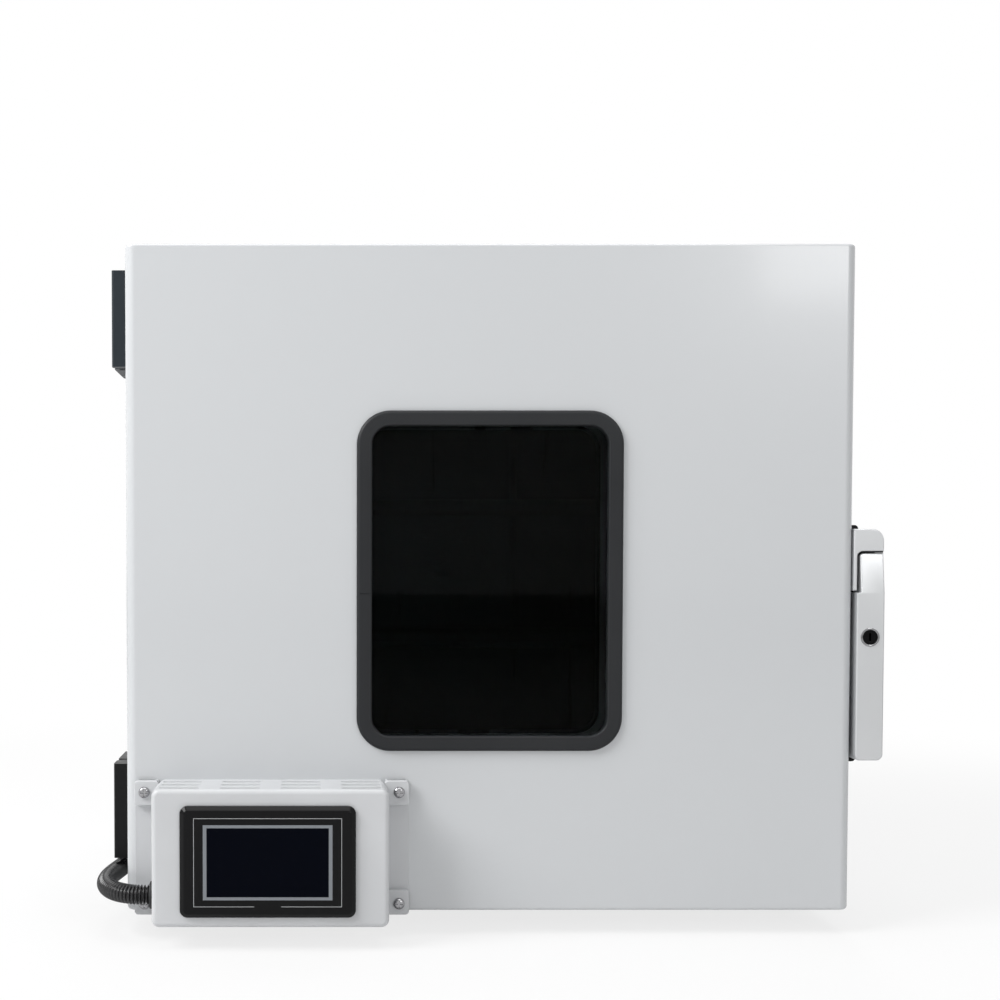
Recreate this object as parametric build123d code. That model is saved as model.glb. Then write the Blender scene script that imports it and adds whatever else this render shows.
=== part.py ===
"""Bench-top forced-air drying oven: a double-skinned cabinet round a stainless chamber, a glazed door hung on
the left with a control box on its lower left, and a motor-driven impeller behind a slotted baffle.
Millimetres. X runs to the right, Y to the back and Z up; the origin is on the table, under the middle of
the whole oven."""

from build123d import *
import os
from math import atan2, cos, degrees, hypot, radians, sin, tan

# Sheet metal and running gaps
sheet = 1.5
liner_sheet = 1.0
gap = 0.3
running = 0.05

# Chamber, its insulation and the air duct behind the baffle
chamber_width = 420.0
chamber_height = 380.0
chamber_corner = 14.0
chamber_depth = 320.0
duct_depth = 54.0
liner_flange = 14.0
wool_side = 60.0
wool_back = 50.0
air_beside_wool = 24.0
air_above_wool = 19.0

# Cabinet
rear_bay = 72.0
case_bend = 8.0
bottom_fold = 15.0
frame_return = 20.0
panel_return = 12.0
foot_height = 20.0
foot_radius = 18.0
foot_inset = 48.0
front_foot_back = 68.0
tray_rib_out = 140.0
tray_rib_width = 52.0
tray_rib_rise = 9.0
tray_rib_margin = 20.0
side_vent_length = 56.0
side_vent_width = 4.0
side_vent_pitch = 12.0
side_vent_in = 90.0
rear_vent_length = 90.0
rear_vent_width = 5.0
rear_vent_pitch = 13.0
rear_vent_out = 120.0
rear_vent_up = 190.0
cover_screw_in = 7.0
cover_screw_end = 40.0
cover_screw_out = 150.0
cover_screw_radius = 4.0

# Door
door_depth = 60.0
door_side_radius = 8.5
door_edge_radius = 2.5
door_lip = 14.0
seam_gap = 4.0
inner_panel_inset = 5.0
seal_width = 10.0
seal_outset = 9.0
seal_squeeze_gap = 0.3
door_screw_radius = 3.5

# Window
window_width = 190.7
window_height = 250.8
window_radius = 15.0
window_drop = 1.5
gasket_face = 12.3
gasket_proud = 4.0
gasket_lip = 5.0
gasket_neck = 8.0
glass_thickness = 4.0
glass_bite = 2.8
tunnel_clear = 5.0
inner_frame_width = 14.0

# Hinges
hinge_height = 80.0
hinge_proud = 16.0
hinge_axis_out = 9.5
hinge_front = 19.0
hinge_back = 60.0
knuckle_gap = 12.0
hinge_pin_radius = 3.0
hinge_edge = 2.0
upper_hinge_in = 13.0
lower_hinge_in = 34.0
knuckle_split = 0.3

# Control box on the door
box_width = 186.0
box_height = 109.0
box_depth = 50.0
box_wall = 3.0
box_left_in = 25.6
box_drop = 1.6
box_corner = 6.0
box_edge = 4.0
ear_width = 18.2
ear_thickness = 3.0
ear_corner = 3.0
tab_size = 20.0
tab_height = 8.0
ear_screw_in = 8.2
ear_screw_radius = 4.55
ear_screw_head = 3.2
notch_radius = 17.5
notch_tip = 9.5
notch_length = 40.0
slot_rows = 3
slot_groups = 4
slot_group_length = 30.0
slot_group_pitch = 47.7
slot_width = 2.0
slot_pitch = 15.5
slot_first = 12.4

# Touch panel
panel_width = 137.3
panel_height = 87.4
panel_corner = 6.0
panel_proud = 5.0
panel_bevel = 3.5
panel_shift_x = -1.9
panel_shift_z = -2.0
panel_body_width = 118.0
panel_body_height = 73.0
panel_body_depth = 28.0
screen_width = 95.0
screen_height = 54.0
screen_recess = 0.8

# Conduit and its fittings
conduit_diameter = 15.8
gland_radius = 11.0
gland_thickness = 3.5
gland_thread = 8.0
gland_nut = 5.0
gland_forward = 26.0
gland_up = 19.0
elbow_radius = 10.0
elbow_out = 10.0
elbow_up = 22.0
elbow_back = 37.0
elbow_socket = 23.0

# Latch on the door's right side, its heights measured down from its top
latch_top_up = 41.0
latch_height = 188.0
latch_reach = 24.5
latch_head_height = 18.0
latch_head_radius = 9.5
latch_parting = 1.5
latch_leg_length = 50.0
latch_leg_thickness = 3.0
latch_setback = 1.0
lever_bulge = 3.0
lever_knee_down = 70.0
lever_bevel = 9.0
lever_back = 16.0
lever_side_gap = 2.0
lever_wall = 2.5
lever_corner = 4.0
lever_toe_radius = 5.0
lever_shoulder_radius = 3.0
pivot_out = 8.4
pivot_back = 5.0
latch_pin_radius = 2.5
latch_pin_length = 69.0
latch_base_width = 10.0
latch_base_front = 19.0
latch_base_depth = 26.0
latch_base_rise = 3.5
latch_base_corner = 3.0
latch_wing = 12.0
latch_wing_sheet = 3.0
latch_screw_in = 25.0
latch_screw_radius = 3.8
hook_height = 18.0
hook_down = 88.0
hook_thickness = 3.0
hook_out = 11.0
claw_length = 6.0
keeper_reach = 5.0
keeper_setback = 6.0
keeper_length = 18.0
keeper_height = 34.0
lock_down = 87.7
lock_out = 12.8
lock_rim_radius = 7.7
lock_plug_radius = 6.0
lock_length = 11.0
keyway_width = 1.4
keyway_height = 6.5

# Fan, heater and baffle
impeller_radius = 75.0
impeller_eye = 46.0
impeller_depth = 26.0
impeller_sheet = 1.5
impeller_front = 12.0
blade_count = 14
blade_thickness = 1.2
blade_bow = 46.0
hub_radius = 12.0
shaft_radius = 4.0
shaft_hole_clear = 2.0
heater_tube = 4.0
heater_radii = (92.0, 106.0)
heater_gap_angle = 10.0
heater_bend = 10.0
heater_back = 25.0
heater_tail = 18.0
baffle_inset = 6.0
baffle_hole_radius = 56.0
baffle_slot = 6.0
baffle_pitch = 12.5
outlet_length = 44.0
outlet_rows = 10
outlet_pitch = 32.0
outlet_in = 38.0

# Shelves and their racks
rack_plate = 2.0
rack_rail = 12.0
rack_lip = 6.0
rack_front = 16.0
rack_length = 292.0
rack_levels = 5
rack_pitch = 62.0
rack_margin = 22.0
shelf_levels = (1, 3)
shelf_side_gap = 3.0
shelf_rod = 3.0
shelf_wire = 1.6
shelf_wires = 17
shelf_front = 22.0
shelf_length = 278.0
shelf_corner = 12.0

# Motor and the electrical pieces behind the chamber
motor_radius = 42.0
motor_standoff = 12.0
motor_length = 46.0
motor_bolt_circle = 33.0
motor_boss_radius = 12.0
motor_boss = 6.0
shaft_grip = 30.0
probe_radius = 2.5
probe_hexagon = 9.0
probe_seat = 7.0
probe_tail = 20.0
probe_across = 62.0
bulb_across = 92.0
probe_down = 40.0
probe_reach = 30.0
relay_width = 76.0
relay_height = 100.0
relay_sink = 22.0
relay_block = 22.0
relay_fins = 6
relay_fin_gap = 6.0
relay_in = 105.0
relay_up = 130.0
supply_width = 98.0
supply_height = 82.0
supply_depth = 36.0
supply_in = 115.0
supply_up = 140.0
terminal_ways = 8
terminal_pitch = 11.0
terminal_height = 42.0
terminal_depth = 34.0
terminal_step = 8.0
terminal_rail = 2.0
terminal_up = 70.0
cutout_width = 38.0
cutout_height = 30.0
cutout_depth = 22.0
cutout_boss = 9.0
cutout_down = 105.0

# Rear fittings
spigot_radius = 20.0
spigot_wall = 1.5
spigot_reach = 30.0
spigot_flange = 30.0
duct_hole_in = 60.0
intake_radius = 28.0
damper_radius = 31.0
damper_sheet = 1.5
damper_window = (12.0, 25.0)
damper_sector = 50.0
damper_pin_radius = 3.0
damper_pin_reach = 4.0
damper_knob_radius = 9.0
damper_knob = 10.0
mains_gland_bore = 5.0
mains_gland_wall = 3.0
mains_gland_hexagon = 12.0
mains_gland_nut = 5.0
mains_gland_dome = 13.0
mains_gland_in = 80.0
rear_fitting_up = 50.0
switch_in = 145.0
switch_width = 27.0
switch_height = 12.5
switch_body = 20.0
switch_rim = 2.0
rocker_pin_radius = 1.0
rocker_tilt = 6.0

# Levels and places that follow from the sizes above
case_width = chamber_width + 2 * (liner_sheet + wool_side + air_beside_wool)
case_height = chamber_height + 2 * (liner_sheet + wool_side + air_above_wool)
case_depth = sheet + chamber_depth + duct_depth + liner_sheet + wool_back + sheet + rear_bay
front_reach = panel_proud + box_depth + door_depth + seam_gap
overall_depth = front_reach + case_depth + spigot_reach
CASE_FRONT = front_reach - overall_depth / 2
CASE_BACK = CASE_FRONT + case_depth
CASE_BOTTOM = foot_height
CASE_TOP = foot_height + case_height
TRAY_TOP = CASE_BOTTOM + sheet
MID_Z = CASE_BOTTOM + case_height / 2
SIDE = case_width / 2
DOOR_BACK = CASE_FRONT - seam_gap
DOOR_FRONT = DOOR_BACK - door_depth
BOX_FRONT = DOOR_FRONT - box_depth
BAFFLE_FRONT = CASE_FRONT + sheet + chamber_depth
DUCT_BACK = BAFFLE_FRONT + duct_depth
LINER_BACK = DUCT_BACK + liner_sheet
BULKHEAD_FRONT = LINER_BACK + wool_back
BULKHEAD_BACK = BULKHEAD_FRONT + sheet
WINDOW_Z = MID_Z - window_drop
HINGE_X = -SIDE - hinge_axis_out
HINGE_Y = CASE_FRONT - seam_gap / 2
HINGE_BOTTOMS = (CASE_BOTTOM + lower_hinge_in, CASE_TOP - upper_hinge_in - hinge_height)
LATCH_TOP = MID_Z + latch_top_up
LATCH_BOTTOM = LATCH_TOP - latch_height
LATCH_LEG_BOTTOM = LATCH_TOP - latch_leg_length
LATCH_FRONT = DOOR_FRONT + latch_setback
LATCH_RIGHT = SIDE + latch_reach
LEVER_FRONT = LATCH_FRONT - lever_bulge
LEVER_BACK = DOOR_FRONT + lever_back
LEVER_TOP = LATCH_TOP - latch_head_height - latch_parting
LEVER_KNEE = LATCH_TOP - lever_knee_down
PIN_TOP = LATCH_TOP - 4
PIN_BOTTOM = PIN_TOP - latch_pin_length
PIVOT_X = SIDE + pivot_out
PIVOT_Y = DOOR_FRONT + pivot_back
HOOK_Z = LATCH_TOP - hook_down
LOCK_X = SIDE + lock_out
LOCK_Z = LATCH_TOP - lock_down
BOX_LEFT = -SIDE + box_left_in
BOX_X = BOX_LEFT + box_width / 2
BOX_BOTTOM = CASE_BOTTOM - box_drop
BOX_Z = BOX_BOTTOM + box_height / 2
PANEL_X = BOX_X + panel_shift_x
PANEL_Z = BOX_Z + panel_shift_z
GLAND_Y = DOOR_FRONT - gland_forward
GLAND_Z = CASE_BOTTOM + gland_up
ELBOW_Z = CASE_BOTTOM + elbow_up
PROBE_Z = MID_Z + chamber_height / 2 - probe_down
DUCT_HOLE_X = chamber_width / 2 - duct_hole_in
DUCT_HOLE_Z = MID_Z + chamber_height / 2 - duct_hole_in
FITTING_Z = CASE_BOTTOM + rear_fitting_up
SWITCH_X = SIDE - switch_in
MAINS_GLAND_X = SIDE - mains_gland_in

nodes = {}


def node(make):
    """Keep the solid that a function makes under the function's own name."""
    nodes[make.__name__] = make()
    return make


def patch(low, high, radius=0.0):
    """A rectangle between two corners, its own corners rounded."""
    width, height = high[0] - low[0], high[1] - low[1]
    outline = RectangleRounded(width, height, radius) if radius else Rectangle(width, height)
    return Pos((low[0] + high[0]) / 2, (low[1] + high[1]) / 2) * outline


def slab(outline, front, back):
    """A front-view outline (x, z), as thick as from front to back."""
    return extrude(Plane.XZ.offset(-back) * outline, amount=back - front)


def post(outline, bottom, top):
    """A plan outline (x, y), as tall as from bottom to top."""
    return extrude(Pos(0, 0, bottom) * outline, amount=top - bottom)


def rib(outline, left, right):
    """A side-view outline (y, z), as wide as from left to right."""
    return extrude(Plane.YZ.offset(left) * outline, amount=right - left)


def rod(start, end, radius):
    """A round bar between two points."""
    along = Vector(*end) - Vector(*start)
    return extrude(Plane(origin=start, z_dir=along) * Circle(radius), amount=along.length)


def arch(width, bottom, top, radius):
    """A front-view rectangle whose two upper corners are rounded."""
    outline = patch((-width / 2, bottom), (width / 2, top))
    return fillet(outline.vertices().group_by(Axis.Y)[-1], radius)


def case_inside(shrink=0.0):
    """The space inside the casing in front view, made smaller all round."""
    width = case_width - 2 * (sheet + shrink)
    return arch(width, TRAY_TOP + sheet + shrink, CASE_TOP - sheet - shrink, case_bend - sheet - shrink)


def chamber(grow=0.0):
    """The chamber's outline in front view, made larger all round."""
    size = (chamber_width + 2 * grow, chamber_height + 2 * grow)
    return Pos(0, MID_Z) * RectangleRounded(*size, chamber_corner + grow)


def window(grow=0.0):
    """The visible glass in front view, made larger all round."""
    size = (window_width + 2 * grow, window_height + 2 * grow)
    return Pos(0, WINDOW_Z) * RectangleRounded(*size, window_radius + grow)


def pan_screw(at, out, radius, head, length):
    """A round-headed screw whose head seats at a point and stands out along a direction."""
    seat = Plane(origin=at, z_dir=out)
    dome = extrude(seat * Circle(radius), amount=head)
    dome = fillet(dome.edges().group_by(Axis(seat.origin, seat.z_dir))[-1], head * 0.6)
    return dome + extrude(seat * Circle(radius * 0.45), amount=-length)


def sector(inner, outer, middle, spread):
    """A piece of a ring, spread degrees wide."""
    far = 2 * outer
    sides = [radians(middle - spread / 2), radians(middle + spread / 2)]
    wedge = make_face(Polyline((0, 0), *[(far * cos(a), far * sin(a)) for a in sides], close=True))
    return (Circle(outer) - Circle(inner)) & wedge


# Cabinet shell


def side_vents():
    """Slots in both side walls beside the electrical compartment."""
    middle = (BULKHEAD_BACK + CASE_BACK - sheet) / 2
    slots = Sketch() + [
        Pos(middle, level) * place * SlotOverall(side_vent_length, side_vent_width, rotation=90)
        for level in (CASE_BOTTOM + side_vent_in, CASE_TOP - side_vent_in)
        for place in GridLocations(side_vent_pitch, 1, 4, 1)
    ]
    return rib(slots, -SIDE - 1, SIDE + 1)


@node
def outer_casing():
    fold = SIDE - sheet - bottom_fold
    wrap = arch(case_width, TRAY_TOP, CASE_TOP, case_bend) - case_inside()
    wrap -= patch((-fold, TRAY_TOP - sheet), (fold, TRAY_TOP + 2 * sheet))
    skin = slab(wrap, CASE_FRONT, CASE_BACK)
    entry = (CASE_FRONT + elbow_back + elbow_socket, ELBOW_Z)
    return skin - side_vents() - rod((-SIDE - 1, *entry), (-SIDE + 2 * sheet, *entry), elbow_radius - 2)


def foot_places():
    return [
        (x, y)
        for x in (-SIDE + foot_inset, SIDE - foot_inset)
        for y in (CASE_FRONT + front_foot_back, CASE_BACK - foot_inset)
    ]


@node
def base_tray():
    """Flat pan with two pressed stiffening ribs, on which everything stands."""
    tray = slab(patch((-SIDE, CASE_BOTTOM), (SIDE, TRAY_TOP)), CASE_FRONT, CASE_BACK)
    front, back = CASE_FRONT + frame_return + tray_rib_margin, BULKHEAD_FRONT - tray_rib_margin
    for x in (-tray_rib_out, tray_rib_out):
        outline = patch((x - tray_rib_width / 2, front), (x + tray_rib_width / 2, back))
        pressing = extrude(Pos(0, 0, TRAY_TOP) * outline, amount=tray_rib_rise, taper=45)
        tray += pressing
        tray -= Pos(0, 0, -sheet) * pressing
    for x, y in foot_places():
        tray -= rod((x, y, CASE_BOTTOM - 1), (x, y, TRAY_TOP + 1), 3)
    return tray


@node
def rubber_feet():
    """Four round feet with a recess for the screw that holds each."""
    with BuildLine() as line:
        Polyline((0, 0), (foot_radius, 0), (foot_radius - 3, foot_height), (0, foot_height), close=True)
    foot = revolve(make_face(Plane.XZ * line.line), Axis.Z)
    foot = foot - post(Circle(6), -1, 8) - post(Circle(2.6), -1, foot_height + 1)
    return Compound(children=[Pos(x, y, 0) * foot for x, y in foot_places()])


@node
def foot_screws():
    return Compound(
        children=[pan_screw((x, y, 8), (0, 0, -1), 5.5, 3.5, foot_height) for x, y in foot_places()]
    )


@node
def front_frame():
    """Tray-shaped face that the door's seal shuts against, open to the chamber."""
    face = slab(case_inside(), CASE_FRONT, CASE_FRONT + frame_return)
    face -= slab(case_inside(sheet), CASE_FRONT + sheet, CASE_FRONT + frame_return + 1)
    return face - slab(chamber(), CASE_FRONT - 1, CASE_FRONT + sheet + 1)


def back_holes(margin=0.0):
    """What passes through the chamber's back wall, with room to spare."""
    reach = (BAFFLE_FRONT + 2, BULKHEAD_BACK + 1)
    holes = [slab(Pos(0, MID_Z) * Circle(shaft_radius + shaft_hole_clear + margin), *reach)]
    holes.append(slab(Pos(DUCT_HOLE_X, DUCT_HOLE_Z) * Circle(spigot_radius + gap), *reach))
    holes.append(slab(Pos(-DUCT_HOLE_X, DUCT_HOLE_Z) * Circle(intake_radius + gap), *reach))
    for x in (probe_across, bulb_across):
        holes.append(slab(Pos(x, PROBE_Z) * Circle(probe_radius + gap + margin), *reach))
    for radius in heater_radii:
        for hand in (-1, 1):
            x, z = heater_leg(radius, hand)
            holes.append(slab(Pos(x, z) * Circle(heater_tube + gap + margin / 2), *reach))
    return holes


def heater_leg(radius, hand):
    """Where a heater ring's leg runs back, in front view."""
    angle = radians(-90 + heater_gap_angle) if hand > 0 else radians(-90 - heater_gap_angle)
    x = radius * cos(angle) - hand * heater_bend * -sin(angle)
    z = radius * sin(angle) - hand * heater_bend * cos(angle)
    return x, MID_Z + z


@node
def inner_liner():
    """Stainless tub with rounded corners and a flange behind the front frame."""
    mouth = CASE_FRONT + sheet
    tub = slab(chamber(liner_sheet), mouth, LINER_BACK)
    tub += slab(chamber(liner_flange), mouth, mouth + liner_sheet)
    tub -= slab(chamber(), mouth - 1, DUCT_BACK)
    for hole in back_holes():
        tub -= hole
    return tub


@node
def insulation_jacket():
    """Mineral wool round the liner's walls and back."""
    wool = Pos(0, MID_Z) * Rectangle(
        chamber_width + 2 * (liner_sheet + wool_side), chamber_height + 2 * (liner_sheet + wool_side)
    )
    front = CASE_FRONT + frame_return + 1
    jacket = slab(wool, front, BULKHEAD_FRONT) - slab(chamber(liner_sheet), front - 1, LINER_BACK)
    for hole in back_holes(4.0):
        jacket -= hole
    return jacket


@node
def rear_bulkhead():
    wall = slab(case_inside(gap), BULKHEAD_FRONT, BULKHEAD_BACK)
    for hole in back_holes(4.0):
        wall -= hole
    return wall


def rear_vents():
    """Two blocks of level slots in the rear panel."""
    slots = Sketch() + [
        Pos(x, CASE_BOTTOM + rear_vent_up) * place * SlotOverall(rear_vent_length, rear_vent_width)
        for x in (-rear_vent_out, rear_vent_out)
        for place in GridLocations(1, rear_vent_pitch, 1, 7)
    ]
    return slab(slots, CASE_BACK - 2 * sheet, CASE_BACK + 1)


def casing_screw_places():
    side = SIDE - sheet - cover_screw_in
    low, high = CASE_BOTTOM + cover_screw_end, CASE_TOP - cover_screw_end
    level = CASE_TOP - sheet - cover_screw_in
    return [(x, z) for x in (-side, side) for z in (low, MID_Z, high)] + [
        (x, level) for x in (-cover_screw_out, cover_screw_out)
    ]


def damper_windows():
    """Three openings round the damper's pivot."""
    return Sketch() + [sector(*damper_window, turn, damper_sector) for turn in (90, 210, 330)]


@node
def rear_panel():
    """Rear cover with folded edges, vents and the cut-outs of its fittings."""
    panel = slab(case_inside(gap), CASE_BACK - panel_return, CASE_BACK)
    panel -= slab(case_inside(gap + sheet), CASE_BACK - panel_return - 1, CASE_BACK - sheet)
    panel -= rear_vents()
    cut = (CASE_BACK - 2 * sheet, CASE_BACK + 1)
    panel -= slab(Pos(DUCT_HOLE_X, DUCT_HOLE_Z) * Circle(spigot_radius + gap), *cut)
    damper = damper_windows() + Circle(damper_pin_radius + running)
    panel -= slab(Pos(-DUCT_HOLE_X, DUCT_HOLE_Z) * damper, *cut)
    panel -= slab(Pos(MAINS_GLAND_X, FITTING_Z) * Circle(mains_gland_bore + mains_gland_wall), *cut)
    panel -= slab(Pos(SWITCH_X, FITTING_Z) * Rectangle(switch_width, switch_height), *cut)
    for place in casing_screw_places():
        panel -= slab(Pos(*place) * Circle(cover_screw_radius / 2), *cut)
    return panel


@node
def casing_screws():
    return Compound(
        children=[
            pan_screw((x, CASE_BACK, z), (0, 1, 0), cover_screw_radius, cover_screw_radius * 0.6, cover_screw_radius) for x, z in casing_screw_places()
        ]
    )


# Air circulation


@node
def air_baffle():
    """Slotted wall in front of the fan, folded back to the liner above and below."""
    width = chamber_width - 2 * baffle_inset
    height = chamber_height - 2 * baffle_inset
    outline = Pos(0, MID_Z) * Rectangle(width, height)
    hollow = Pos(0, MID_Z) * Rectangle(width + 2, height - 2 * liner_sheet)
    wall = slab(outline, BAFFLE_FRONT, DUCT_BACK) - slab(hollow, BAFFLE_FRONT + liner_sheet, DUCT_BACK + 1)
    rows = int(baffle_hole_radius / baffle_pitch)
    slots = Sketch()
    for row in range(-rows, rows + 1):
        up = row * baffle_pitch
        half = (baffle_hole_radius**2 - up**2) ** 0.5
        slots += Pos(0, MID_Z + up) * SlotOverall(2 * half, baffle_slot)
    for x in (outlet_in - chamber_width / 2, chamber_width / 2 - outlet_in):
        for place in GridLocations(1, outlet_pitch, 1, outlet_rows):
            slots += Pos(x, MID_Z) * place * Rectangle(outlet_length, baffle_slot)
    for x in (probe_across, bulb_across):
        slots += Pos(x, PROBE_Z) * Circle(probe_radius + gap)
    return wall - slab(slots, BAFFLE_FRONT - 1, BAFFLE_FRONT + 2 * liner_sheet)


def heater_ring(radius):
    """A tube bent into a ring, its two ends turned back through the liner."""
    depth = DUCT_BACK - heater_back
    tail = BULKHEAD_BACK + heater_tail
    ends = []
    for hand in (1, -1):
        angle = radians(-90 + hand * heater_gap_angle)
        on_ring = Vector(radius * cos(angle), depth, MID_Z + radius * sin(angle))
        x, z = heater_leg(radius, hand)
        turned = Vector(x, depth + heater_bend, z)
        centre = on_ring + Vector(0, heater_bend, 0)
        way = ((on_ring - centre) + (turned - centre)).normalized()
        ends.append((on_ring, centre + way * heater_bend, turned, Vector(x, tail, z)))
    (a, a_bend, a_leg, a_tail), (b, b_bend, b_leg, b_tail) = ends
    top = Vector(0, depth, MID_Z + radius)
    path = Wire(
        [
            Edge.make_line(a_tail, a_leg),
            Edge.make_three_point_arc(a_leg, a_bend, a),
            Edge.make_three_point_arc(a, top, b),
            Edge.make_three_point_arc(b, b_bend, b_leg),
            Edge.make_line(b_leg, b_tail),
        ]
    )
    section = Plane(origin=a_tail, z_dir=(0, -1, 0)) * Circle(heater_tube)
    return sweep(section, path=path)


@node
def heater_element():
    return Compound(children=[heater_ring(radius) for radius in heater_radii])


@node
def fan_motor():
    """Round motor on four standoffs, with a boss round the shaft and cooling ribs."""
    front = BULKHEAD_BACK + motor_standoff
    back = front + motor_length
    can = slab(Pos(0, MID_Z) * Circle(motor_radius), front, back)
    for step in (1, 2, 3):
        groove = front + step * motor_length / 4 - 2
        ring = Circle(motor_radius + 1) - Circle(motor_radius - 3)
        can -= slab(Pos(0, MID_Z) * ring, groove, groove + 4)
    can += slab(Pos(0, MID_Z) * Circle(motor_boss_radius), front - motor_boss, front)
    for place in PolarLocations(motor_bolt_circle, 4, 45):
        can += slab(Pos(0, MID_Z) * place * Circle(4), BULKHEAD_BACK, front)
    bore = Pos(0, MID_Z) * Circle(shaft_radius + running)
    return can - slab(bore, front - motor_boss - 1, front + shaft_grip + 1)


@node
def fan_shaft():
    """Steel shaft from the motor through the insulation to the impeller."""
    front = BAFFLE_FRONT + impeller_front - 4
    end = BULKHEAD_BACK + motor_standoff + shaft_grip
    return slab(Pos(0, MID_Z) * Circle(shaft_radius), front, end)


@node
def impeller():
    """Backward-curved centrifugal wheel: back disc, blades, eye ring and hub."""
    front = BAFFLE_FRONT + impeller_front
    back = front + impeller_depth
    wheel = slab(Circle(impeller_radius), back - impeller_sheet, back)
    wheel += slab(Circle(impeller_radius) - Circle(impeller_eye), front, front + impeller_sheet)
    wheel += slab(Circle(hub_radius), front, back)
    band = Circle(impeller_radius - 1) - Circle(impeller_eye - 4)
    reach = (impeller_radius + impeller_eye) / 2
    bow = Circle(blade_bow + blade_thickness) - Circle(blade_bow)
    blade = (band & (Pos(reach, -blade_bow * 0.72) * bow)) & patch((0, -blade_bow), (impeller_radius, impeller_radius))
    for turn in range(blade_count):
        wheel += slab(Rot(0, 0, turn * 360 / blade_count) * blade, front, back)
    wheel -= slab(Circle(shaft_radius + running / 2), front - 1, back + 1)
    return Pos(0, 0, MID_Z) * wheel


@node
def impeller_nut():
    """Domed nut on the shaft's end."""
    seat = BAFFLE_FRONT + impeller_front
    nut = slab(Pos(0, MID_Z) * RegularPolygon(8, 6), seat - 6, seat)
    return nut - slab(Pos(0, MID_Z) * Circle(shaft_radius + running / 2), seat - 4 - running, seat + 1)


# Shelves


def rack(hand):
    """A pressed ladder on one side wall, with a rail at each level."""
    wall = chamber_width / 2
    front = CASE_FRONT + rack_front
    low = MID_Z - (rack_levels - 1) / 2 * rack_pitch
    top = low + (rack_levels - 1) * rack_pitch + rack_margin
    ladder = patch((front, low - rack_margin), (front + rack_length, top), 8)
    for level in range(rack_levels - 1):
        up = low + level * rack_pitch
        ladder -= patch((front + 18, up + 12), (front + rack_length - 18, up + rack_pitch - 12), 6)
    plate = rib(ladder, wall - rack_plate, wall)
    for level in range(rack_levels):
        up = low + level * rack_pitch
        inner = wall - rack_plate - rack_rail
        angle = patch((inner, up - liner_sheet), (wall - rack_plate, up))
        angle += patch((inner, up - rack_lip), (inner + liner_sheet, up))
        plate += slab(angle, front + 4, front + rack_length - 4)
    return plate if hand > 0 else mirror(plate, Plane.YZ)


@node
def left_shelf_rack():
    return rack(-1)


@node
def right_shelf_rack():
    return rack(1)


def shelf(level):
    """A wire shelf: a rod bent into a rectangle, with cross wires welded on."""
    half = chamber_width / 2 - rack_plate - shelf_side_gap - shelf_rod
    front = CASE_FRONT + shelf_front + shelf_rod
    back = CASE_FRONT + shelf_front + shelf_length - shelf_rod
    up = MID_Z + (level - (rack_levels - 1) / 2) * rack_pitch + shelf_rod + gap
    frame = RectangleRounded(2 * half, back - front, shelf_corner)
    path = (Pos(0, (front + back) / 2, up) * frame).wires()[0]
    section = Plane(origin=(0, front, up), z_dir=(1, 0, 0)) * Circle(shelf_rod)
    grid = sweep(section, path=path)
    pitch = 2 * half / (shelf_wires + 1)
    for wire in range(shelf_wires):
        x = (wire - (shelf_wires - 1) / 2) * pitch
        grid += rod((x, front, up), (x, back, up), shelf_wire)
    return grid


@node
def lower_shelf():
    return shelf(shelf_levels[0])


@node
def upper_shelf():
    return shelf(shelf_levels[1])


# Electrical pieces


def through_back(x, tail):
    """A sensor's sheath through the chamber's back wall, its hexagon seated on the bulkhead."""
    at = Pos(x, PROBE_Z)
    sheath = slab(at * Circle(probe_radius), BAFFLE_FRONT - probe_reach, BULKHEAD_BACK + tail)
    return sheath + slab(at * RegularPolygon(probe_hexagon, 6), BULKHEAD_BACK, BULKHEAD_BACK + probe_seat)


@node
def temperature_probe():
    return through_back(probe_across, probe_tail)


@node
def overheat_cutout():
    """Safety thermostat: a sensing bulb and a body with a stub for its spindle."""
    at = Pos(bulb_across, CASE_TOP - cutout_down)
    body = slab(at * RectangleRounded(cutout_width, cutout_height, 4), BULKHEAD_BACK, BULKHEAD_BACK + cutout_depth)
    body += slab(at * Circle(cutout_boss), BULKHEAD_BACK + cutout_depth, BULKHEAD_BACK + cutout_depth + cutout_boss)
    return Compound(children=[through_back(bulb_across, probe_tail / 2), body])


@node
def solid_state_relay():
    """Relay block with stepped terminal ends on a finned heat sink."""
    at = Pos(-SIDE + relay_in, CASE_BOTTOM + relay_up)
    top = BULKHEAD_BACK + relay_sink
    whole = slab(at * Rectangle(relay_width, relay_height), BULKHEAD_BACK, top)
    for place in GridLocations(relay_width / relay_fins, 1, relay_fins, 1):
        channel = at * place * Rectangle(relay_fin_gap, relay_height + 2)
        whole -= slab(channel, BULKHEAD_BACK - 1, BULKHEAD_BACK + relay_sink * 0.7)
    whole += slab(at * RectangleRounded(relay_width * 0.6, relay_height * 0.6, 3), top, top + relay_block)
    for place in GridLocations(1, relay_height / 2, 1, 2):
        step = at * place * Rectangle(relay_width, relay_height / 10)
        whole -= slab(step, top + relay_block / 2, top + relay_block + 1)
    return whole


@node
def power_supply():
    """Small boxed supply with a row of vents."""
    at = Pos(SIDE - supply_in, CASE_BOTTOM + supply_up)
    back = BULKHEAD_BACK + supply_depth
    box = slab(at * RectangleRounded(supply_width, supply_height, 2), BULKHEAD_BACK, back)
    for place in GridLocations(supply_width / 8, 1, 5, 1):
        box -= slab(at * place * SlotOverall(supply_height * 0.6, 4, rotation=90), back - sheet, back + 1)
    return box


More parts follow.
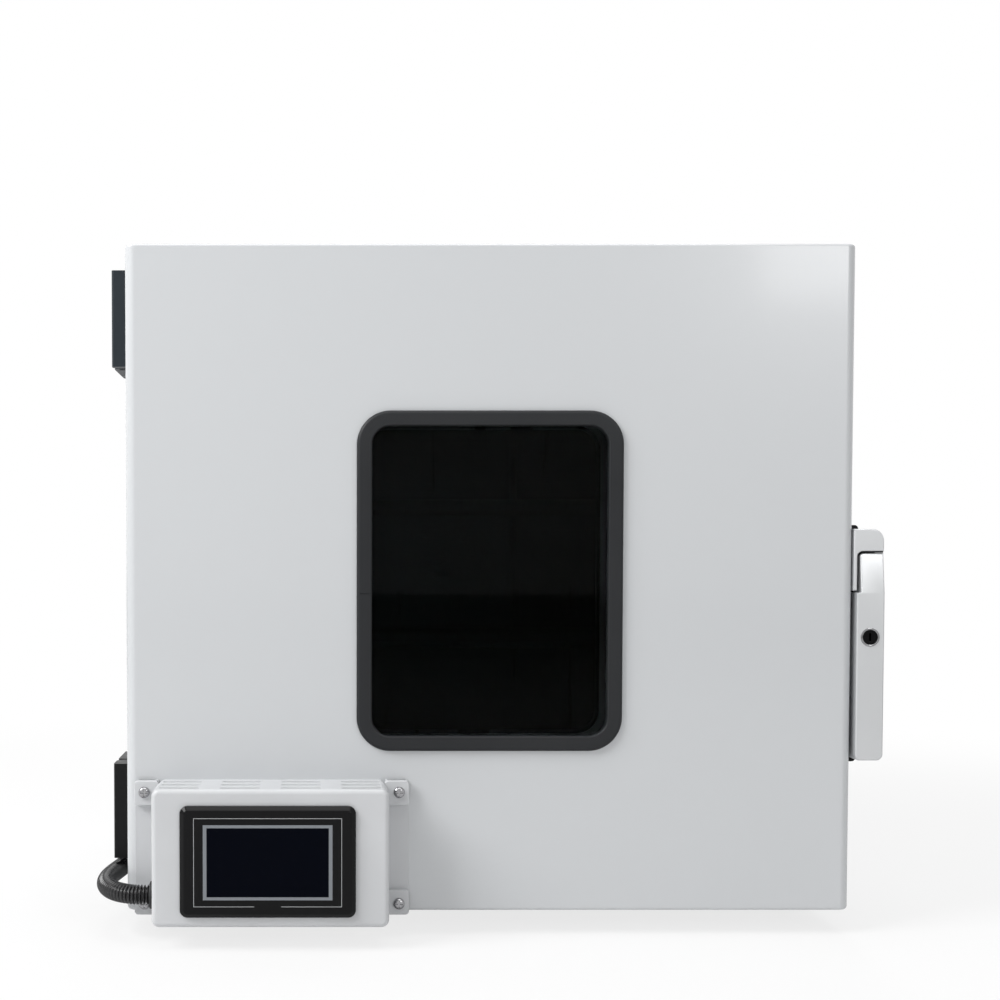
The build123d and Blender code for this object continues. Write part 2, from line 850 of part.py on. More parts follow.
@node
def terminal_block():
    """Row of terminals on a rail."""
    at = Pos(0, CASE_BOTTOM + terminal_up)
    width = (terminal_ways + 1) * terminal_pitch
    shoulder = BULKHEAD_BACK + terminal_depth - terminal_step
    row = slab(at * Rectangle(width, terminal_height * 0.8), BULKHEAD_BACK, BULKHEAD_BACK + terminal_rail)
    row += slab(at * Rectangle(width - terminal_pitch, terminal_height * 0.7), BULKHEAD_BACK + terminal_rail, shoulder - 5)
    for place in GridLocations(terminal_pitch, 1, terminal_ways, 1):
        way = at * place * Rectangle(terminal_pitch - 1, terminal_height)
        row += slab(way, BULKHEAD_BACK + terminal_rail, shoulder)
        crown = at * place * Rectangle(terminal_pitch - 3, terminal_height / 2)
        row += slab(crown, shoulder, shoulder + terminal_step)
    return row


@node
def exhaust_spigot():
    """Tube from the duct to the outside, flanged on the rear panel, for a hose of its size."""
    at = Pos(DUCT_HOLE_X, DUCT_HOLE_Z)
    tube = slab(at * Circle(spigot_radius), DUCT_BACK, CASE_BACK + spigot_reach)
    tube += slab(at * Circle(spigot_flange), CASE_BACK, CASE_BACK + sheet)
    return tube - slab(at * Circle(spigot_radius - spigot_wall), DUCT_BACK - 1, CASE_BACK + spigot_reach + 1)


@node
def intake_duct():
    """Tube from the intake damper to the duct."""
    ring = Circle(intake_radius) - Circle(intake_radius - liner_sheet)
    return slab(Pos(-DUCT_HOLE_X, DUCT_HOLE_Z) * ring, DUCT_BACK, CASE_BACK - sheet)


@node
def damper_disc():
    """Rotary shutter on the rear panel, with its fluted knob and a headed pivot."""
    front = CASE_BACK + gap
    knob = front + damper_sheet
    disc = slab(Circle(damper_radius) - Rot(0, 0, 60) * damper_windows(), front, knob)
    disc += slab(Circle(damper_knob_radius), knob, knob + damper_knob)
    for place in PolarLocations(damper_knob_radius, 8):
        disc -= slab(place * Circle(damper_knob_radius / 6), knob + 2, knob + damper_knob + 1)
    inside = CASE_BACK - sheet - damper_pin_reach
    disc += slab(Circle(damper_pin_radius), inside, front + 1)
    disc += slab(Circle(damper_pin_radius + 2), inside, CASE_BACK - sheet - gap)
    return Pos(-DUCT_HOLE_X, 0, DUCT_HOLE_Z) * disc


@node
def mains_gland():
    """Cable gland in the rear panel: nut inside, hexagon and dome outside, open bore."""
    at = Pos(MAINS_GLAND_X, FITTING_Z)
    inside = CASE_BACK - sheet - mains_gland_nut
    gland = slab(at * Circle(mains_gland_bore + mains_gland_wall - running), inside - 1, CASE_BACK)
    gland += slab(at * RegularPolygon(mains_gland_hexagon, 6), inside, CASE_BACK - sheet)
    gland += slab(at * RegularPolygon(mains_gland_hexagon, 6), CASE_BACK, CASE_BACK + mains_gland_nut)
    dome_back = CASE_BACK + mains_gland_nut + mains_gland_dome
    dome = slab(at * Circle(mains_gland_hexagon - 2), CASE_BACK + mains_gland_nut, dome_back)
    gland += fillet(dome.faces().sort_by(Axis.Y)[-1].edges(), 3)
    return gland - slab(at * Circle(mains_gland_bore), inside - 2, dome_back + 1)


def rocker_pivot():
    """Where the rocker turns, and how far its pins reach up and down."""
    return (SWITCH_X, CASE_BACK - 2 * switch_rim, FITTING_Z), switch_height / 2 - gap


@node
def switch_frame():
    """Snap-in frame of the mains switch, open at the front and bored for the rocker's pins."""
    at = Pos(SWITCH_X, FITTING_Z)
    rim = RectangleRounded(switch_width + 2 * switch_rim, switch_height + 2 * switch_rim, 1.5)
    frame = slab(at * rim, CASE_BACK, CASE_BACK + switch_rim)
    frame += slab(at * Rectangle(switch_width - 2 * gap, switch_height - 2 * gap), CASE_BACK - switch_body, CASE_BACK)
    hollow = Rectangle(switch_width - 2 * switch_rim, switch_height - 1.5 * switch_rim)
    frame -= slab(at * hollow, CASE_BACK - switch_body * 0.6, CASE_BACK + switch_rim + 1)
    (x, y, z), reach = rocker_pivot()
    return frame - rod((x, y, z - reach - 1), (x, y, z + reach + 1), rocker_pin_radius + running)


@node
def power_rocker():
    """Rocker of the mains switch, tilted to one side: two shallow slopes in front, pins above and below."""
    (x, y, z), reach = rocker_pivot()
    half = switch_width / 2 - switch_rim - 4 * gap
    tall = switch_height - 1.5 * switch_rim - 2 * gap
    rise, foot = 3.4 * switch_rim, 1.5 * switch_rim
    face = Polyline(
        (-half, rise),
        (1.2 - half, -foot),
        (half - 1.2, -foot),
        (half, rise),
        (0, rise - 1.2),
        close=True,
    )
    rocker = Pos(0, 0, -tall / 2) * extrude(make_face(face), amount=tall)
    return Pos(x, y, z) * Rot(0, 0, rocker_tilt) * rocker + rod((x, y, z - reach), (x, y, z + reach), rocker_pin_radius)


# Hinges


def hinge_leaf(bottom, on_door):
    """A block leaf with half of the knuckle: the door's leaf has the upper half."""
    top = bottom + hinge_height
    split = bottom + hinge_height / 2
    outside = -SIDE - hinge_proud
    if on_door:
        plate = patch((outside, HINGE_Y - hinge_front), (-SIDE, HINGE_Y - knuckle_gap + 2))
        arm = (HINGE_Y - knuckle_gap, HINGE_Y - seam_gap / 2)
        half = (split + knuckle_split, top)
    else:
        plate = patch((outside, HINGE_Y + knuckle_gap), (-SIDE, HINGE_Y + hinge_back))
        arm = (HINGE_Y + seam_gap / 2, HINGE_Y + knuckle_gap + 1)
        half = (bottom, split)
    leaf = post(plate, bottom, top)
    leaf = fillet(leaf.edges().filter_by(Axis.Z).group_by(Axis.X)[0], hinge_edge)
    knuckle = Pos(HINGE_X, HINGE_Y) * Circle(HINGE_X - outside)
    knuckle += patch((outside, arm[0]), (-SIDE, arm[1]))
    knuckle += patch((outside, min(arm[0], HINGE_Y)), (HINGE_X, max(arm[1], HINGE_Y)))
    leaf += post(knuckle, *half)
    bore = hinge_pin_radius + running if on_door else hinge_pin_radius
    bore_top = top - hinge_pin_radius if on_door else top + 1
    return leaf - post(Pos(HINGE_X, HINGE_Y) * Circle(bore), bottom - 1, bore_top)


@node
def door_hinge_leaves():
    return Compound(children=[hinge_leaf(bottom, True) for bottom in HINGE_BOTTOMS])


@node
def cabinet_hinge_leaves():
    return Compound(children=[hinge_leaf(bottom, False) for bottom in HINGE_BOTTOMS])


@node
def hinge_pins():
    pins = [
        rod((HINGE_X, HINGE_Y, z + 2), (HINGE_X, HINGE_Y, z + hinge_height - 4), hinge_pin_radius)
        for z in HINGE_BOTTOMS
    ]
    return Compound(children=pins)


# Door


def door_plan(inset, back):
    """The door in plan, its two front corners rounded."""
    outline = patch((-SIDE + inset, DOOR_FRONT + inset), (SIDE - inset, back))
    return fillet(outline.vertices().group_by(Axis.Y)[0], door_side_radius - inset)


@node
def door_skin():
    """Deep-folded sheet shell with a lip round its open back and a rounded window cut-out."""
    back = DOOR_BACK - sheet
    shell = post(door_plan(0, back), CASE_BOTTOM, CASE_TOP)
    for end in (0, -1):
        rim = shell.faces().sort_by(Axis.Z)[end].edges()
        shell = fillet([edge for edge in rim if edge.center().Y < back - 1], door_edge_radius)
    shell -= post(door_plan(sheet, back - sheet), CASE_BOTTOM + sheet, CASE_TOP - sheet)
    lip = sheet + door_lip
    shell -= slab(patch((-SIDE + lip, CASE_BOTTOM + lip), (SIDE - lip, CASE_TOP - lip), 4), back - 2 * sheet, back + 1)
    shell -= slab(window(gasket_lip), DOOR_FRONT - 1, DOOR_FRONT + sheet + 1)
    return shell


def door_screw_places():
    side = SIDE - sheet - door_lip / 2
    low, high = CASE_BOTTOM + sheet + door_lip / 2, CASE_TOP - sheet - door_lip / 2
    columns = [(x, z) for x in (-side, side) for z in (low + 25, MID_Z, high - 25)]
    return columns + [(x, z) for x in (-150.0, 150.0) for z in (low, high)]


def frame_screw_places():
    out = tunnel_clear + inner_frame_width / 2
    half_x, half_z = window_width / 2 + out, window_height / 2 + out
    corners = [(x, WINDOW_Z + z) for x in (-half_x, half_x) for z in (-half_z * 0.72, half_z * 0.72)]
    return corners + [(x, WINDOW_Z + z) for x in (-half_x * 0.6, half_x * 0.6) for z in (-half_z, half_z)]


@node
def door_inner_panel():
    inset = inner_panel_inset
    outline = patch((-SIDE + inset, CASE_BOTTOM + inset), (SIDE - inset, CASE_TOP - inset), 6)
    panel = slab(outline - window(tunnel_clear + 2), DOOR_BACK - sheet, DOOR_BACK)
    for place in door_screw_places() + frame_screw_places():
        panel -= slab(Pos(*place) * Circle(1.7), DOOR_BACK - 5, DOOR_BACK + 1)
    return panel


@node
def door_screws():
    screws = [pan_screw((x, DOOR_BACK, z), (0, 1, 0), door_screw_radius, seam_gap / 2, sheet) for x, z in door_screw_places()]
    frame_back = DOOR_BACK + liner_sheet
    screws += [
        pan_screw((x, frame_back, z), (0, 1, 0), 3.0, 1.6, liner_sheet + sheet) for x, z in frame_screw_places()
    ]
    return Compound(children=screws)


@node
def door_insulation():
    """Mineral wool pad filling the door round the window tunnel."""
    lip = sheet + door_lip + 1
    outline = patch((-SIDE + lip, CASE_BOTTOM + lip), (SIDE - lip, CASE_TOP - lip), 4)
    pad = slab(outline - window(tunnel_clear + 1), DOOR_FRONT + 12, DOOR_BACK - sheet)
    pad -= slab(window(tunnel_clear + 2), DOOR_BACK - glass_thickness, DOOR_BACK)
    for place in frame_screw_places():
        pad -= slab(Pos(*place) * Circle(2), DOOR_BACK - 5, DOOR_BACK)
    return pad


@node
def door_gasket():
    """Silicone seal on the inner panel, round the chamber's mouth."""
    ring = chamber(seal_outset + seal_width) - chamber(seal_outset)
    seal = slab(ring, DOOR_BACK, CASE_FRONT - seal_squeeze_gap)
    return fillet(seal.faces().sort_by(Axis.Y)[-1].edges(), 2.2)


def glass_depth():
    """Front and back of the outer glass."""
    front = DOOR_FRONT + 1
    return front, front + glass_thickness


@node
def window_gasket():
    """Rubber frame: a rounded face on the door skin and a neck with a groove for the glass."""
    face = slab(window(gasket_face), DOOR_FRONT - gasket_proud, DOOR_FRONT)
    face = fillet(face.faces().sort_by(Axis.Y)[0].edges(), 2.5)
    neck = slab(window(gasket_lip), DOOR_FRONT, DOOR_FRONT + gasket_neck)
    ring = face + neck - slab(window(), DOOR_FRONT - gasket_proud - 1, DOOR_FRONT + 20)
    return ring - slab(window(glass_bite), *glass_depth())


@node
def outer_glass():
    return slab(window(glass_bite), *glass_depth())


@node
def inner_glass():
    return slab(window(tunnel_clear + 2 - gap), DOOR_BACK - glass_thickness, DOOR_BACK)


@node
def window_tunnel():
    """Bright sheet sleeve between the two glasses."""
    ring = window(tunnel_clear + 1) - window(tunnel_clear + 1 - liner_sheet)
    return slab(ring, DOOR_FRONT + gasket_neck, DOOR_BACK - glass_thickness)


@node
def inner_window_frame():
    """Flat frame that holds the inner glass to the inner panel."""
    ring = window(tunnel_clear + inner_frame_width) - window(tunnel_clear - 3)
    frame = slab(ring, DOOR_BACK, DOOR_BACK + liner_sheet)
    for place in frame_screw_places():
        frame -= slab(Pos(*place) * Circle(1.7), DOOR_BACK - 1, DOOR_BACK + 3)
    return frame


# Control box


def ear_screw_places():
    half_x = box_width / 2 + ear_width - ear_screw_in
    half_z = box_height / 2 - ear_screw_in - 1
    return [(BOX_X + x, BOX_Z + z) for x in (-half_x, half_x) for z in (-half_z, half_z)]


def screw_notches(grow=0.0):
    """Tapered pockets that clear a screwdriver at three corners, the fourth being the conduit's."""
    seats = [Plane(origin=(x, DOOR_FRONT, z), z_dir=(0, -1, 0)) for x, z in ear_screw_places()[1:]]
    foot = (Align.CENTER, Align.CENTER, Align.MIN)
    return [
        seat.location * Cone(notch_radius + grow, notch_tip + grow, notch_length, align=foot) for seat in seats
    ]


@node
def panel_box():
    """Moulded box, open at the back, with an ear each side, raised screw tabs and slots in its top."""
    at = Pos(BOX_X, BOX_Z)
    body = slab(at * RectangleRounded(box_width, box_height, box_corner), BOX_FRONT, DOOR_FRONT)
    body = fillet(body.faces().sort_by(Axis.Y)[0].edges(), box_edge)
    inside = RectangleRounded(box_width - 2 * box_wall, box_height - 2 * box_wall, box_corner - box_wall)
    hollow = slab(at * inside, BOX_FRONT + box_wall, DOOR_FRONT + 1)
    for notch, wall in zip(screw_notches(), screw_notches(box_wall)):
        body -= notch
        hollow -= wall
    ears = RectangleRounded(box_width + 2 * ear_width, box_height, ear_corner)
    body += slab(at * ears, DOOR_FRONT - ear_thickness, DOOR_FRONT)
    for place in GridLocations(box_width + 2 * ear_width - tab_size, box_height - tab_size, 2, 2):
        tab = at * place * RectangleRounded(tab_size, tab_size, ear_corner)
        body += slab(tab, DOOR_FRONT - tab_height, DOOR_FRONT)
    body -= hollow
    opening = Rectangle(panel_body_width + 2 * gap, panel_body_height + 2 * gap)
    body -= slab(Pos(PANEL_X, PANEL_Z) * opening, BOX_FRONT - 1, BOX_FRONT + box_wall + 1)
    top = BOX_BOTTOM + box_height
    middle = DOOR_FRONT - slot_first - slot_pitch * (slot_rows - 1) / 2
    for place in GridLocations(slot_group_pitch, slot_pitch, slot_groups, slot_rows):
        slot = Pos(BOX_X, middle) * place * SlotOverall(slot_group_length, slot_width)
        body -= post(slot, top - box_wall - 1, top + 1)
    body -= rod((BOX_LEFT - 1, GLAND_Y, GLAND_Z), (BOX_LEFT + box_wall + 1, GLAND_Y, GLAND_Z), gland_radius - 3)
    for x, z in ear_screw_places():
        body -= rod((x, DOOR_FRONT - tab_height - 1, z), (x, DOOR_FRONT + 1, z), ear_screw_radius / 2)
    return body


@node
def panel_screws():
    """Cross-head screws in the box's four tabs."""
    head = DOOR_FRONT - tab_height
    screws = []
    for x, z in ear_screw_places():
        screw = pan_screw((x, head, z), (0, -1, 0), ear_screw_radius, ear_screw_head, tab_height)
        for size in ((5.2, 1.1), (1.1, 5.2)):
            screw -= slab(Pos(x, z) * Rectangle(*size), head - ear_screw_head - 1, head - ear_screw_head / 2)
        screws.append(screw)
    return Compound(children=screws)


@node
def touch_panel():
    """Operator panel: a bevelled bezel with a recess for the screen, and its body inside the box."""
    at = Pos(PANEL_X, PANEL_Z)
    bezel = slab(at * RectangleRounded(panel_width, panel_height, panel_corner), BOX_FRONT - panel_proud, BOX_FRONT)
    bezel = chamfer(bezel.faces().sort_by(Axis.Y)[0].edges(), panel_proud * 0.6, panel_bevel)
    bezel += slab(at * Rectangle(panel_body_width, panel_body_height), BOX_FRONT, BOX_FRONT + panel_body_depth)
    recess = (BOX_FRONT - panel_proud - 1, BOX_FRONT - panel_proud + screen_recess)
    return bezel - slab(at * Rectangle(screen_width, screen_height), *recess)


@node
def screen_glass():
    face = BOX_FRONT - panel_proud
    return slab(Pos(PANEL_X, PANEL_Z) * Rectangle(screen_width - 0.1, screen_height - 0.1), face + 0.2, face + screen_recess)


@node
def panel_gland():
    """Conduit gland in the box's left wall: collar outside, thread and nut inside."""

    def stretch(radius, start, end):
        return rod((BOX_LEFT + start, GLAND_Y, GLAND_Z), (BOX_LEFT + end, GLAND_Y, GLAND_Z), radius)

    gland = stretch(gland_radius, -gland_thickness, 0)
    gland += stretch(gland_radius - 3 - running, 0, box_wall + gland_thread)
    nut = Plane(origin=(BOX_LEFT + box_wall, GLAND_Y, GLAND_Z), z_dir=(1, 0, 0)) * RegularPolygon(gland_radius, 6)
    gland += extrude(nut, amount=gland_nut)
    return gland - stretch(gland_radius - 5, 0, box_wall + gland_thread + 1)


@node
def conduit_elbow():
    """Right-angle conduit fitting on the casing's left side."""
    y = CASE_FRONT + elbow_back
    corner = (-SIDE - elbow_out, y + elbow_socket, ELBOW_Z)

    def stretch(radius, start, end):
        return rod((-SIDE + start, *corner[1:]), (-SIDE + end, *corner[1:]), radius)

    body = rod((corner[0], y, ELBOW_Z), corner, elbow_radius) + Pos(*corner) * Sphere(elbow_radius)
    body += stretch(elbow_radius, -elbow_out, -2) + stretch(elbow_radius + 1, -2, 0)
    body += stretch(elbow_radius - 2 - running, 0, elbow_out)
    nut = Plane(origin=(-SIDE + sheet, *corner[1:]), z_dir=(1, 0, 0)) * RegularPolygon(elbow_radius + 1.5, 6)
    return body + extrude(nut, amount=gland_nut)


CONDUIT_POINTS = [
    (BOX_LEFT - gland_thickness, GLAND_Y, GLAND_Z),
    (-SIDE + 11.0, GLAND_Y, GLAND_Z),
    (-SIDE - 4.0, DOOR_FRONT - 19.5, GLAND_Z + 0.4),
    (-SIDE - 14.0, DOOR_FRONT - 6.0, GLAND_Z + 0.9),
    (-SIDE - 18.5, DOOR_FRONT + 11.0, GLAND_Z + 1.4),
    (-SIDE - 18.7, DOOR_FRONT + 29.0, ELBOW_Z - 1.1),
    (-SIDE - 16.0, DOOR_FRONT + 47.0, ELBOW_Z - 0.7),
    (-SIDE - 12.5, DOOR_FRONT + 65.0, ELBOW_Z - 0.3),
    (-SIDE - elbow_out, CASE_FRONT + elbow_back - 18.0, ELBOW_Z),
    (-SIDE - elbow_out, CASE_FRONT + elbow_back, ELBOW_Z),
]


def corner_radii(points):
    """The arc at each point of a route, as large as its two runs allow."""
    radii = []
    for before, at, after in zip(points, points[1:], points[2:]):
        arriving, leaving = Vector(*at) - Vector(*before), Vector(*after) - Vector(*at)
        half_turn = radians(arriving.get_angle(leaving)) / 2
        radii.append(0.45 * min(arriving.length, leaving.length) / tan(half_turn))
    return radii


@node
def conduit():
    """Flexible conduit from the control box round the hinge side to the cabinet, at its real length."""
    radii = corner_radii(CONDUIT_POINTS)
    path = FilletPolyline(*CONDUIT_POINTS, radius=radii)
    section = Plane(origin=CONDUIT_POINTS[0], z_dir=(-1, 0, 0)) * Circle(conduit_diameter / 2)
    tube = sweep(section, path=path)
    print("conduit radii", [round(r, 1) for r in radii])
    print("conduit length", round(path.length, 1), "volume share", tube.volume / section.area / path.length)
    return tube


# Latch


def latch_screw_places():
    y = DOOR_FRONT + latch_base_front + latch_base_depth / 2
    return [
        (SIDE + latch_base_width, y, z) for z in (LATCH_BOTTOM + latch_screw_in, LATCH_TOP - latch_screw_in)
    ]


@node
def latch_base():
    """Black mounting block on the door's side, behind the lever."""
    front = DOOR_FRONT + latch_base_front
    low, high = LATCH_BOTTOM - latch_base_rise, LATCH_TOP + latch_base_rise
    outline = patch((SIDE, low), (SIDE + latch_base_width, high))
    outline = fillet(outline.vertices().group_by(Axis.X)[-1], latch_base_corner)
    base = slab(outline, front, front + latch_base_depth)
    wing = (SIDE + latch_base_width - 1, LATCH_TOP - 2 * latch_head_height)
    base += slab(patch(wing, (SIDE + latch_base_width + latch_wing, LATCH_TOP - 2)), front, front + latch_wing_sheet)
    for x, y, z in latch_screw_places():
        base -= rod((SIDE - 1, y, z), (x + 1, y, z), latch_screw_radius / 2)
    return base


@node
def latch_head():
    """Fixed silver head over the lever, with a leg down the door's edge."""
    low = LATCH_TOP - latch_head_height
    leg = SIDE + latch_leg_thickness
    head = Polyline(
        (SIDE, LATCH_LEG_BOTTOM),
        (leg, LATCH_LEG_BOTTOM),
        (leg, low),
        (LATCH_RIGHT, low),
        (LATCH_RIGHT, LATCH_TOP),
        (SIDE, LATCH_TOP),
        close=True,
    )
    outline = make_face(head)
    outer = [v for v in outline.vertices() if v.X > leg + 1 and v.Y > low + 1]
    outline = fillet(outer, latch_head_radius)
    inner = [v for v in outline.vertices() if abs(v.X - leg) < 0.01 and abs(v.Y - low) < 0.01]
    outline = fillet(inner, lever_shoulder_radius + latch_parting)
    solid = slab(outline, LATCH_FRONT, DOOR_FRONT + latch_base_front)
    return solid - rod((PIVOT_X, PIVOT_Y, low - 1), (PIVOT_X, PIVOT_Y, PIN_TOP), latch_pin_radius)


@node
def latch_pin():
    return rod((PIVOT_X, PIVOT_Y, PIN_BOTTOM), (PIVOT_X, PIVOT_Y, PIN_TOP), latch_pin_radius)


@node
def latch_screws():
    return Compound(
        children=[
            pan_screw(place, (1, 0, 0), latch_screw_radius, latch_screw_radius / 2, latch_base_width)
            for place in latch_screw_places()
        ]
    )


@node
def latch_lever():
    """Cast pull lever: three outlines crossed, then hollowed from behind, with bores for pin and lock."""
    left = SIDE + lever_side_gap
    shoulder = SIDE + latch_leg_thickness + latch_parting + gap
    ledge = LATCH_LEG_BOTTOM - latch_parting
    face = make_face(
        Polyline(
            (left, LATCH_BOTTOM),
            (LATCH_RIGHT, LATCH_BOTTOM),
            (LATCH_RIGHT, LEVER_TOP),
            (shoulder, LEVER_TOP),
            (shoulder, ledge),
            (left, ledge),
            close=True,
        )
    )
    face = fillet([v for v in face.vertices() if v.Y < LATCH_BOTTOM + 1], lever_toe_radius)
    top_left = [v for v in face.vertices() if v.Y > LEVER_TOP - 1 and v.X < shoulder + 1]
    face = fillet(top_left, lever_shoulder_radius)
    side = Polyline(
        (LEVER_BACK, LATCH_BOTTOM),
        (LATCH_FRONT + 1, LATCH_BOTTOM),
        (LEVER_FRONT, LATCH_BOTTOM + lever_bevel),
        (LEVER_FRONT, LEVER_KNEE),
        (LATCH_FRONT, LEVER_TOP),
        (LEVER_BACK, LEVER_TOP),
        close=True,
    )

    def plan(start):
        outline = patch((start, LEVER_FRONT), (LATCH_RIGHT, LEVER_BACK))
        return fillet(outline.vertices().group_by(Axis.Y)[0], lever_corner)

    grip = post(plan(left), LATCH_BOTTOM, ledge) + post(plan(shoulder), ledge, LEVER_TOP)
    grip &= rib(make_face(side), left - 1, LATCH_RIGHT + 1)
    grip &= slab(face, LEVER_FRONT - 1, LEVER_BACK + 1)
    pocket_front = LEVER_FRONT + lever_wall + 1
    inner, outer = left + lever_wall, LATCH_RIGHT - lever_wall
    below = patch((inner, LATCH_BOTTOM + lever_bevel + 2), (outer, HOOK_Z - hook_height / 2 - 3), 2)
    above = patch((PIVOT_X + latch_pin_radius + 2, LOCK_Z + 12), (outer, LEVER_TOP - lever_wall), 2)
    grip -= slab(below, pocket_front, LEVER_BACK + 1) + slab(above, pocket_front + 2, LEVER_BACK + 1)
    grip -= rod((PIVOT_X, PIVOT_Y, PIN_BOTTOM - 1), (PIVOT_X, PIVOT_Y, LEVER_TOP + 1), latch_pin_radius + running)
    lock = (LEVER_FRONT - 1, LEVER_FRONT + lock_length)
    return grip - slab(Pos(LOCK_X, LOCK_Z) * Circle(lock_rim_radius), *lock)


@node
def lock_rim():
    """Bright ring and barrel that hold the key plug."""
    ring = Circle(lock_rim_radius) - Circle(lock_plug_radius + running)
    return slab(Pos(LOCK_X, LOCK_Z) * ring, LEVER_FRONT - 0.6, LEVER_FRONT + lock_length)


@node
def lock_cylinder():
    """Key plug with its keyway."""
    at = Pos(LOCK_X, LOCK_Z)
    plug = slab(at * Circle(lock_plug_radius), LEVER_FRONT - 0.2, LEVER_FRONT + lock_length)
    return plug - slab(at * Rectangle(keyway_width, keyway_height), LEVER_FRONT - 1, LEVER_FRONT + keyway_height)


@node
def latch_hook():
    """Bent strip from the lever's back to a claw at the cabinet's keeper."""
    keeper_face = SIDE + keeper_reach + gap
    arm = SIDE + hook_out
    end = CASE_FRONT + keeper_setback + keeper_length + 1
    outline = patch((arm, LEVER_BACK), (LATCH_RIGHT - hook_thickness, LEVER_BACK + 2))
    outline += patch((arm, LEVER_BACK), (arm + hook_thickness, end + claw_length))
    claw = Polyline(
        (arm + 0.5, end - 3), (keeper_face, end), (keeper_face, end + claw_length), (arm + 0.5, end + claw_length),
        close=True,
    )
    outline += make_face(claw)
    return post(outline, HOOK_Z - hook_height / 2, HOOK_Z + hook_height / 2)


@node
def latch_keeper():
    """Striker on the casing's right side that the claw hooks behind."""
    front = CASE_FRONT + keeper_setback
    outline = Polyline(
        (SIDE, front),
        (SIDE + keeper_reach, front + keeper_length / 3),
        (SIDE + keeper_reach, front + keeper_length),
        (SIDE, front + keeper_length),
        close=True,
    )
    return post(make_face(outline), HOOK_Z - keeper_height / 2, HOOK_Z + keeper_height / 2)


os.makedirs("parts", exist_ok=True)
for name, shape in nodes.items():
    export_step(shape, f"parts/{name}.step")
print(len(nodes), "nodes")
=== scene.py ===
"""Bench-top drying oven with a glazed door, a control box on its lower left corner and a side latch."""

import math

import bmesh
import bpy
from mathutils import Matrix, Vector


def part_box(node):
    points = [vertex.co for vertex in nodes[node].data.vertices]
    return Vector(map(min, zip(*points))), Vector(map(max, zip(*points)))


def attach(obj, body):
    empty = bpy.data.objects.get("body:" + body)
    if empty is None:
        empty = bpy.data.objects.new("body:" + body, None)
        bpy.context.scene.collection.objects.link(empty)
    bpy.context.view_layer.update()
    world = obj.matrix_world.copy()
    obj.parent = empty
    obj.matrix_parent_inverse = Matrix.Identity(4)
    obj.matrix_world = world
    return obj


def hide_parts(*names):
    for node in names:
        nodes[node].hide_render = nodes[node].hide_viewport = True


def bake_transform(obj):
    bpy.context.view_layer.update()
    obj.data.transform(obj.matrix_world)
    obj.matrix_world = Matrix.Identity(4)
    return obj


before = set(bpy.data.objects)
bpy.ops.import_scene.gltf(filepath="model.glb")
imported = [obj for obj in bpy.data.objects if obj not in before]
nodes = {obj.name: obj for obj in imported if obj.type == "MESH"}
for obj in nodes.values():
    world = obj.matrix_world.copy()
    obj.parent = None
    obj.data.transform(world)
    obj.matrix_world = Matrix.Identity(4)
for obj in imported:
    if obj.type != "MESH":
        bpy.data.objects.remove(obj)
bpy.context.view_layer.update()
door_low, door_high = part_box("door_skin")
door_face = door_low.y


# The camera stands 1.16 m in front of the door and left of its middle, pitched down a little, with a lens
# of about 51 mm. The photograph was cropped from a larger frame, so the lens is shifted to the right and
# up.
camera_distance = 1.16
camera_place = (-0.1447, door_face - camera_distance, 0.3077)
camera_pitch = math.radians(88.0)
camera_sensor = 36
camera_lens = 51.59
camera_shift = (0.1891, 0.1077)
bpy.ops.object.camera_add(location=camera_place, rotation=(camera_pitch, 0, 0))
camera = bpy.context.object
camera.name = "camera"
camera.data.sensor_width = camera_sensor
camera.data.lens = camera_lens
camera.data.shift_x = camera_shift[0]
camera.data.shift_y = camera_shift[1]
bpy.context.scene.camera = camera


# The conduit is a ribbed black polyamide tube that carries the wiring from the control box round the hinge
# side to an elbow on the cabinet. It is made along the smooth line through its route.
conduit_diameter = 0.0158
conduit_valley = 0.006
conduit_pitch = 0.0027
conduit_sides = 28
conduit_route = [
    (-0.2729, -0.2955, 0.0390),
    (-0.2840, -0.2955, 0.0390),
    (-0.2990, -0.2890, 0.0394),
    (-0.3090, -0.2755, 0.0399),
    (-0.3135, -0.2585, 0.0404),
    (-0.3137, -0.2405, 0.0409),
    (-0.3110, -0.2225, 0.0413),
    (-0.3075, -0.2045, 0.0417),
    (-0.3050, -0.1865, 0.0420),
    (-0.3050, -0.1685, 0.0420),
]


def shader_of(material):
    """The one shader of a new material."""
    material.use_nodes = True
    return material.node_tree.nodes["Principled BSDF"]


def finish(name, colour, roughness, metallic=0.0):
    """A new material and its shader, plain so far."""
    material = bpy.data.materials.new(name)
    shader = shader_of(material)
    shader.inputs["Base Color"].default_value = (*colour, 1)
    shader.inputs["Roughness"].default_value = roughness
    shader.inputs["Metallic"].default_value = metallic
    return material, shader


def noise(material, scale, detail=3.0, stretch=(1, 1, 1)):
    """Noise in the object's own space, drawn out along an axis where the stretch is under one."""
    tree = material.node_tree
    place = tree.nodes.new("ShaderNodeTexCoord")
    turn = tree.nodes.new("ShaderNodeMapping")
    turn.inputs["Scale"].default_value = stretch
    texture = tree.nodes.new("ShaderNodeTexNoise")
    texture.inputs["Scale"].default_value = scale
    texture.inputs["Detail"].default_value = detail
    tree.links.new(place.outputs["Object"], turn.inputs["Vector"])
    tree.links.new(turn.outputs["Vector"], texture.inputs["Vector"])
    return texture.outputs["Fac"]


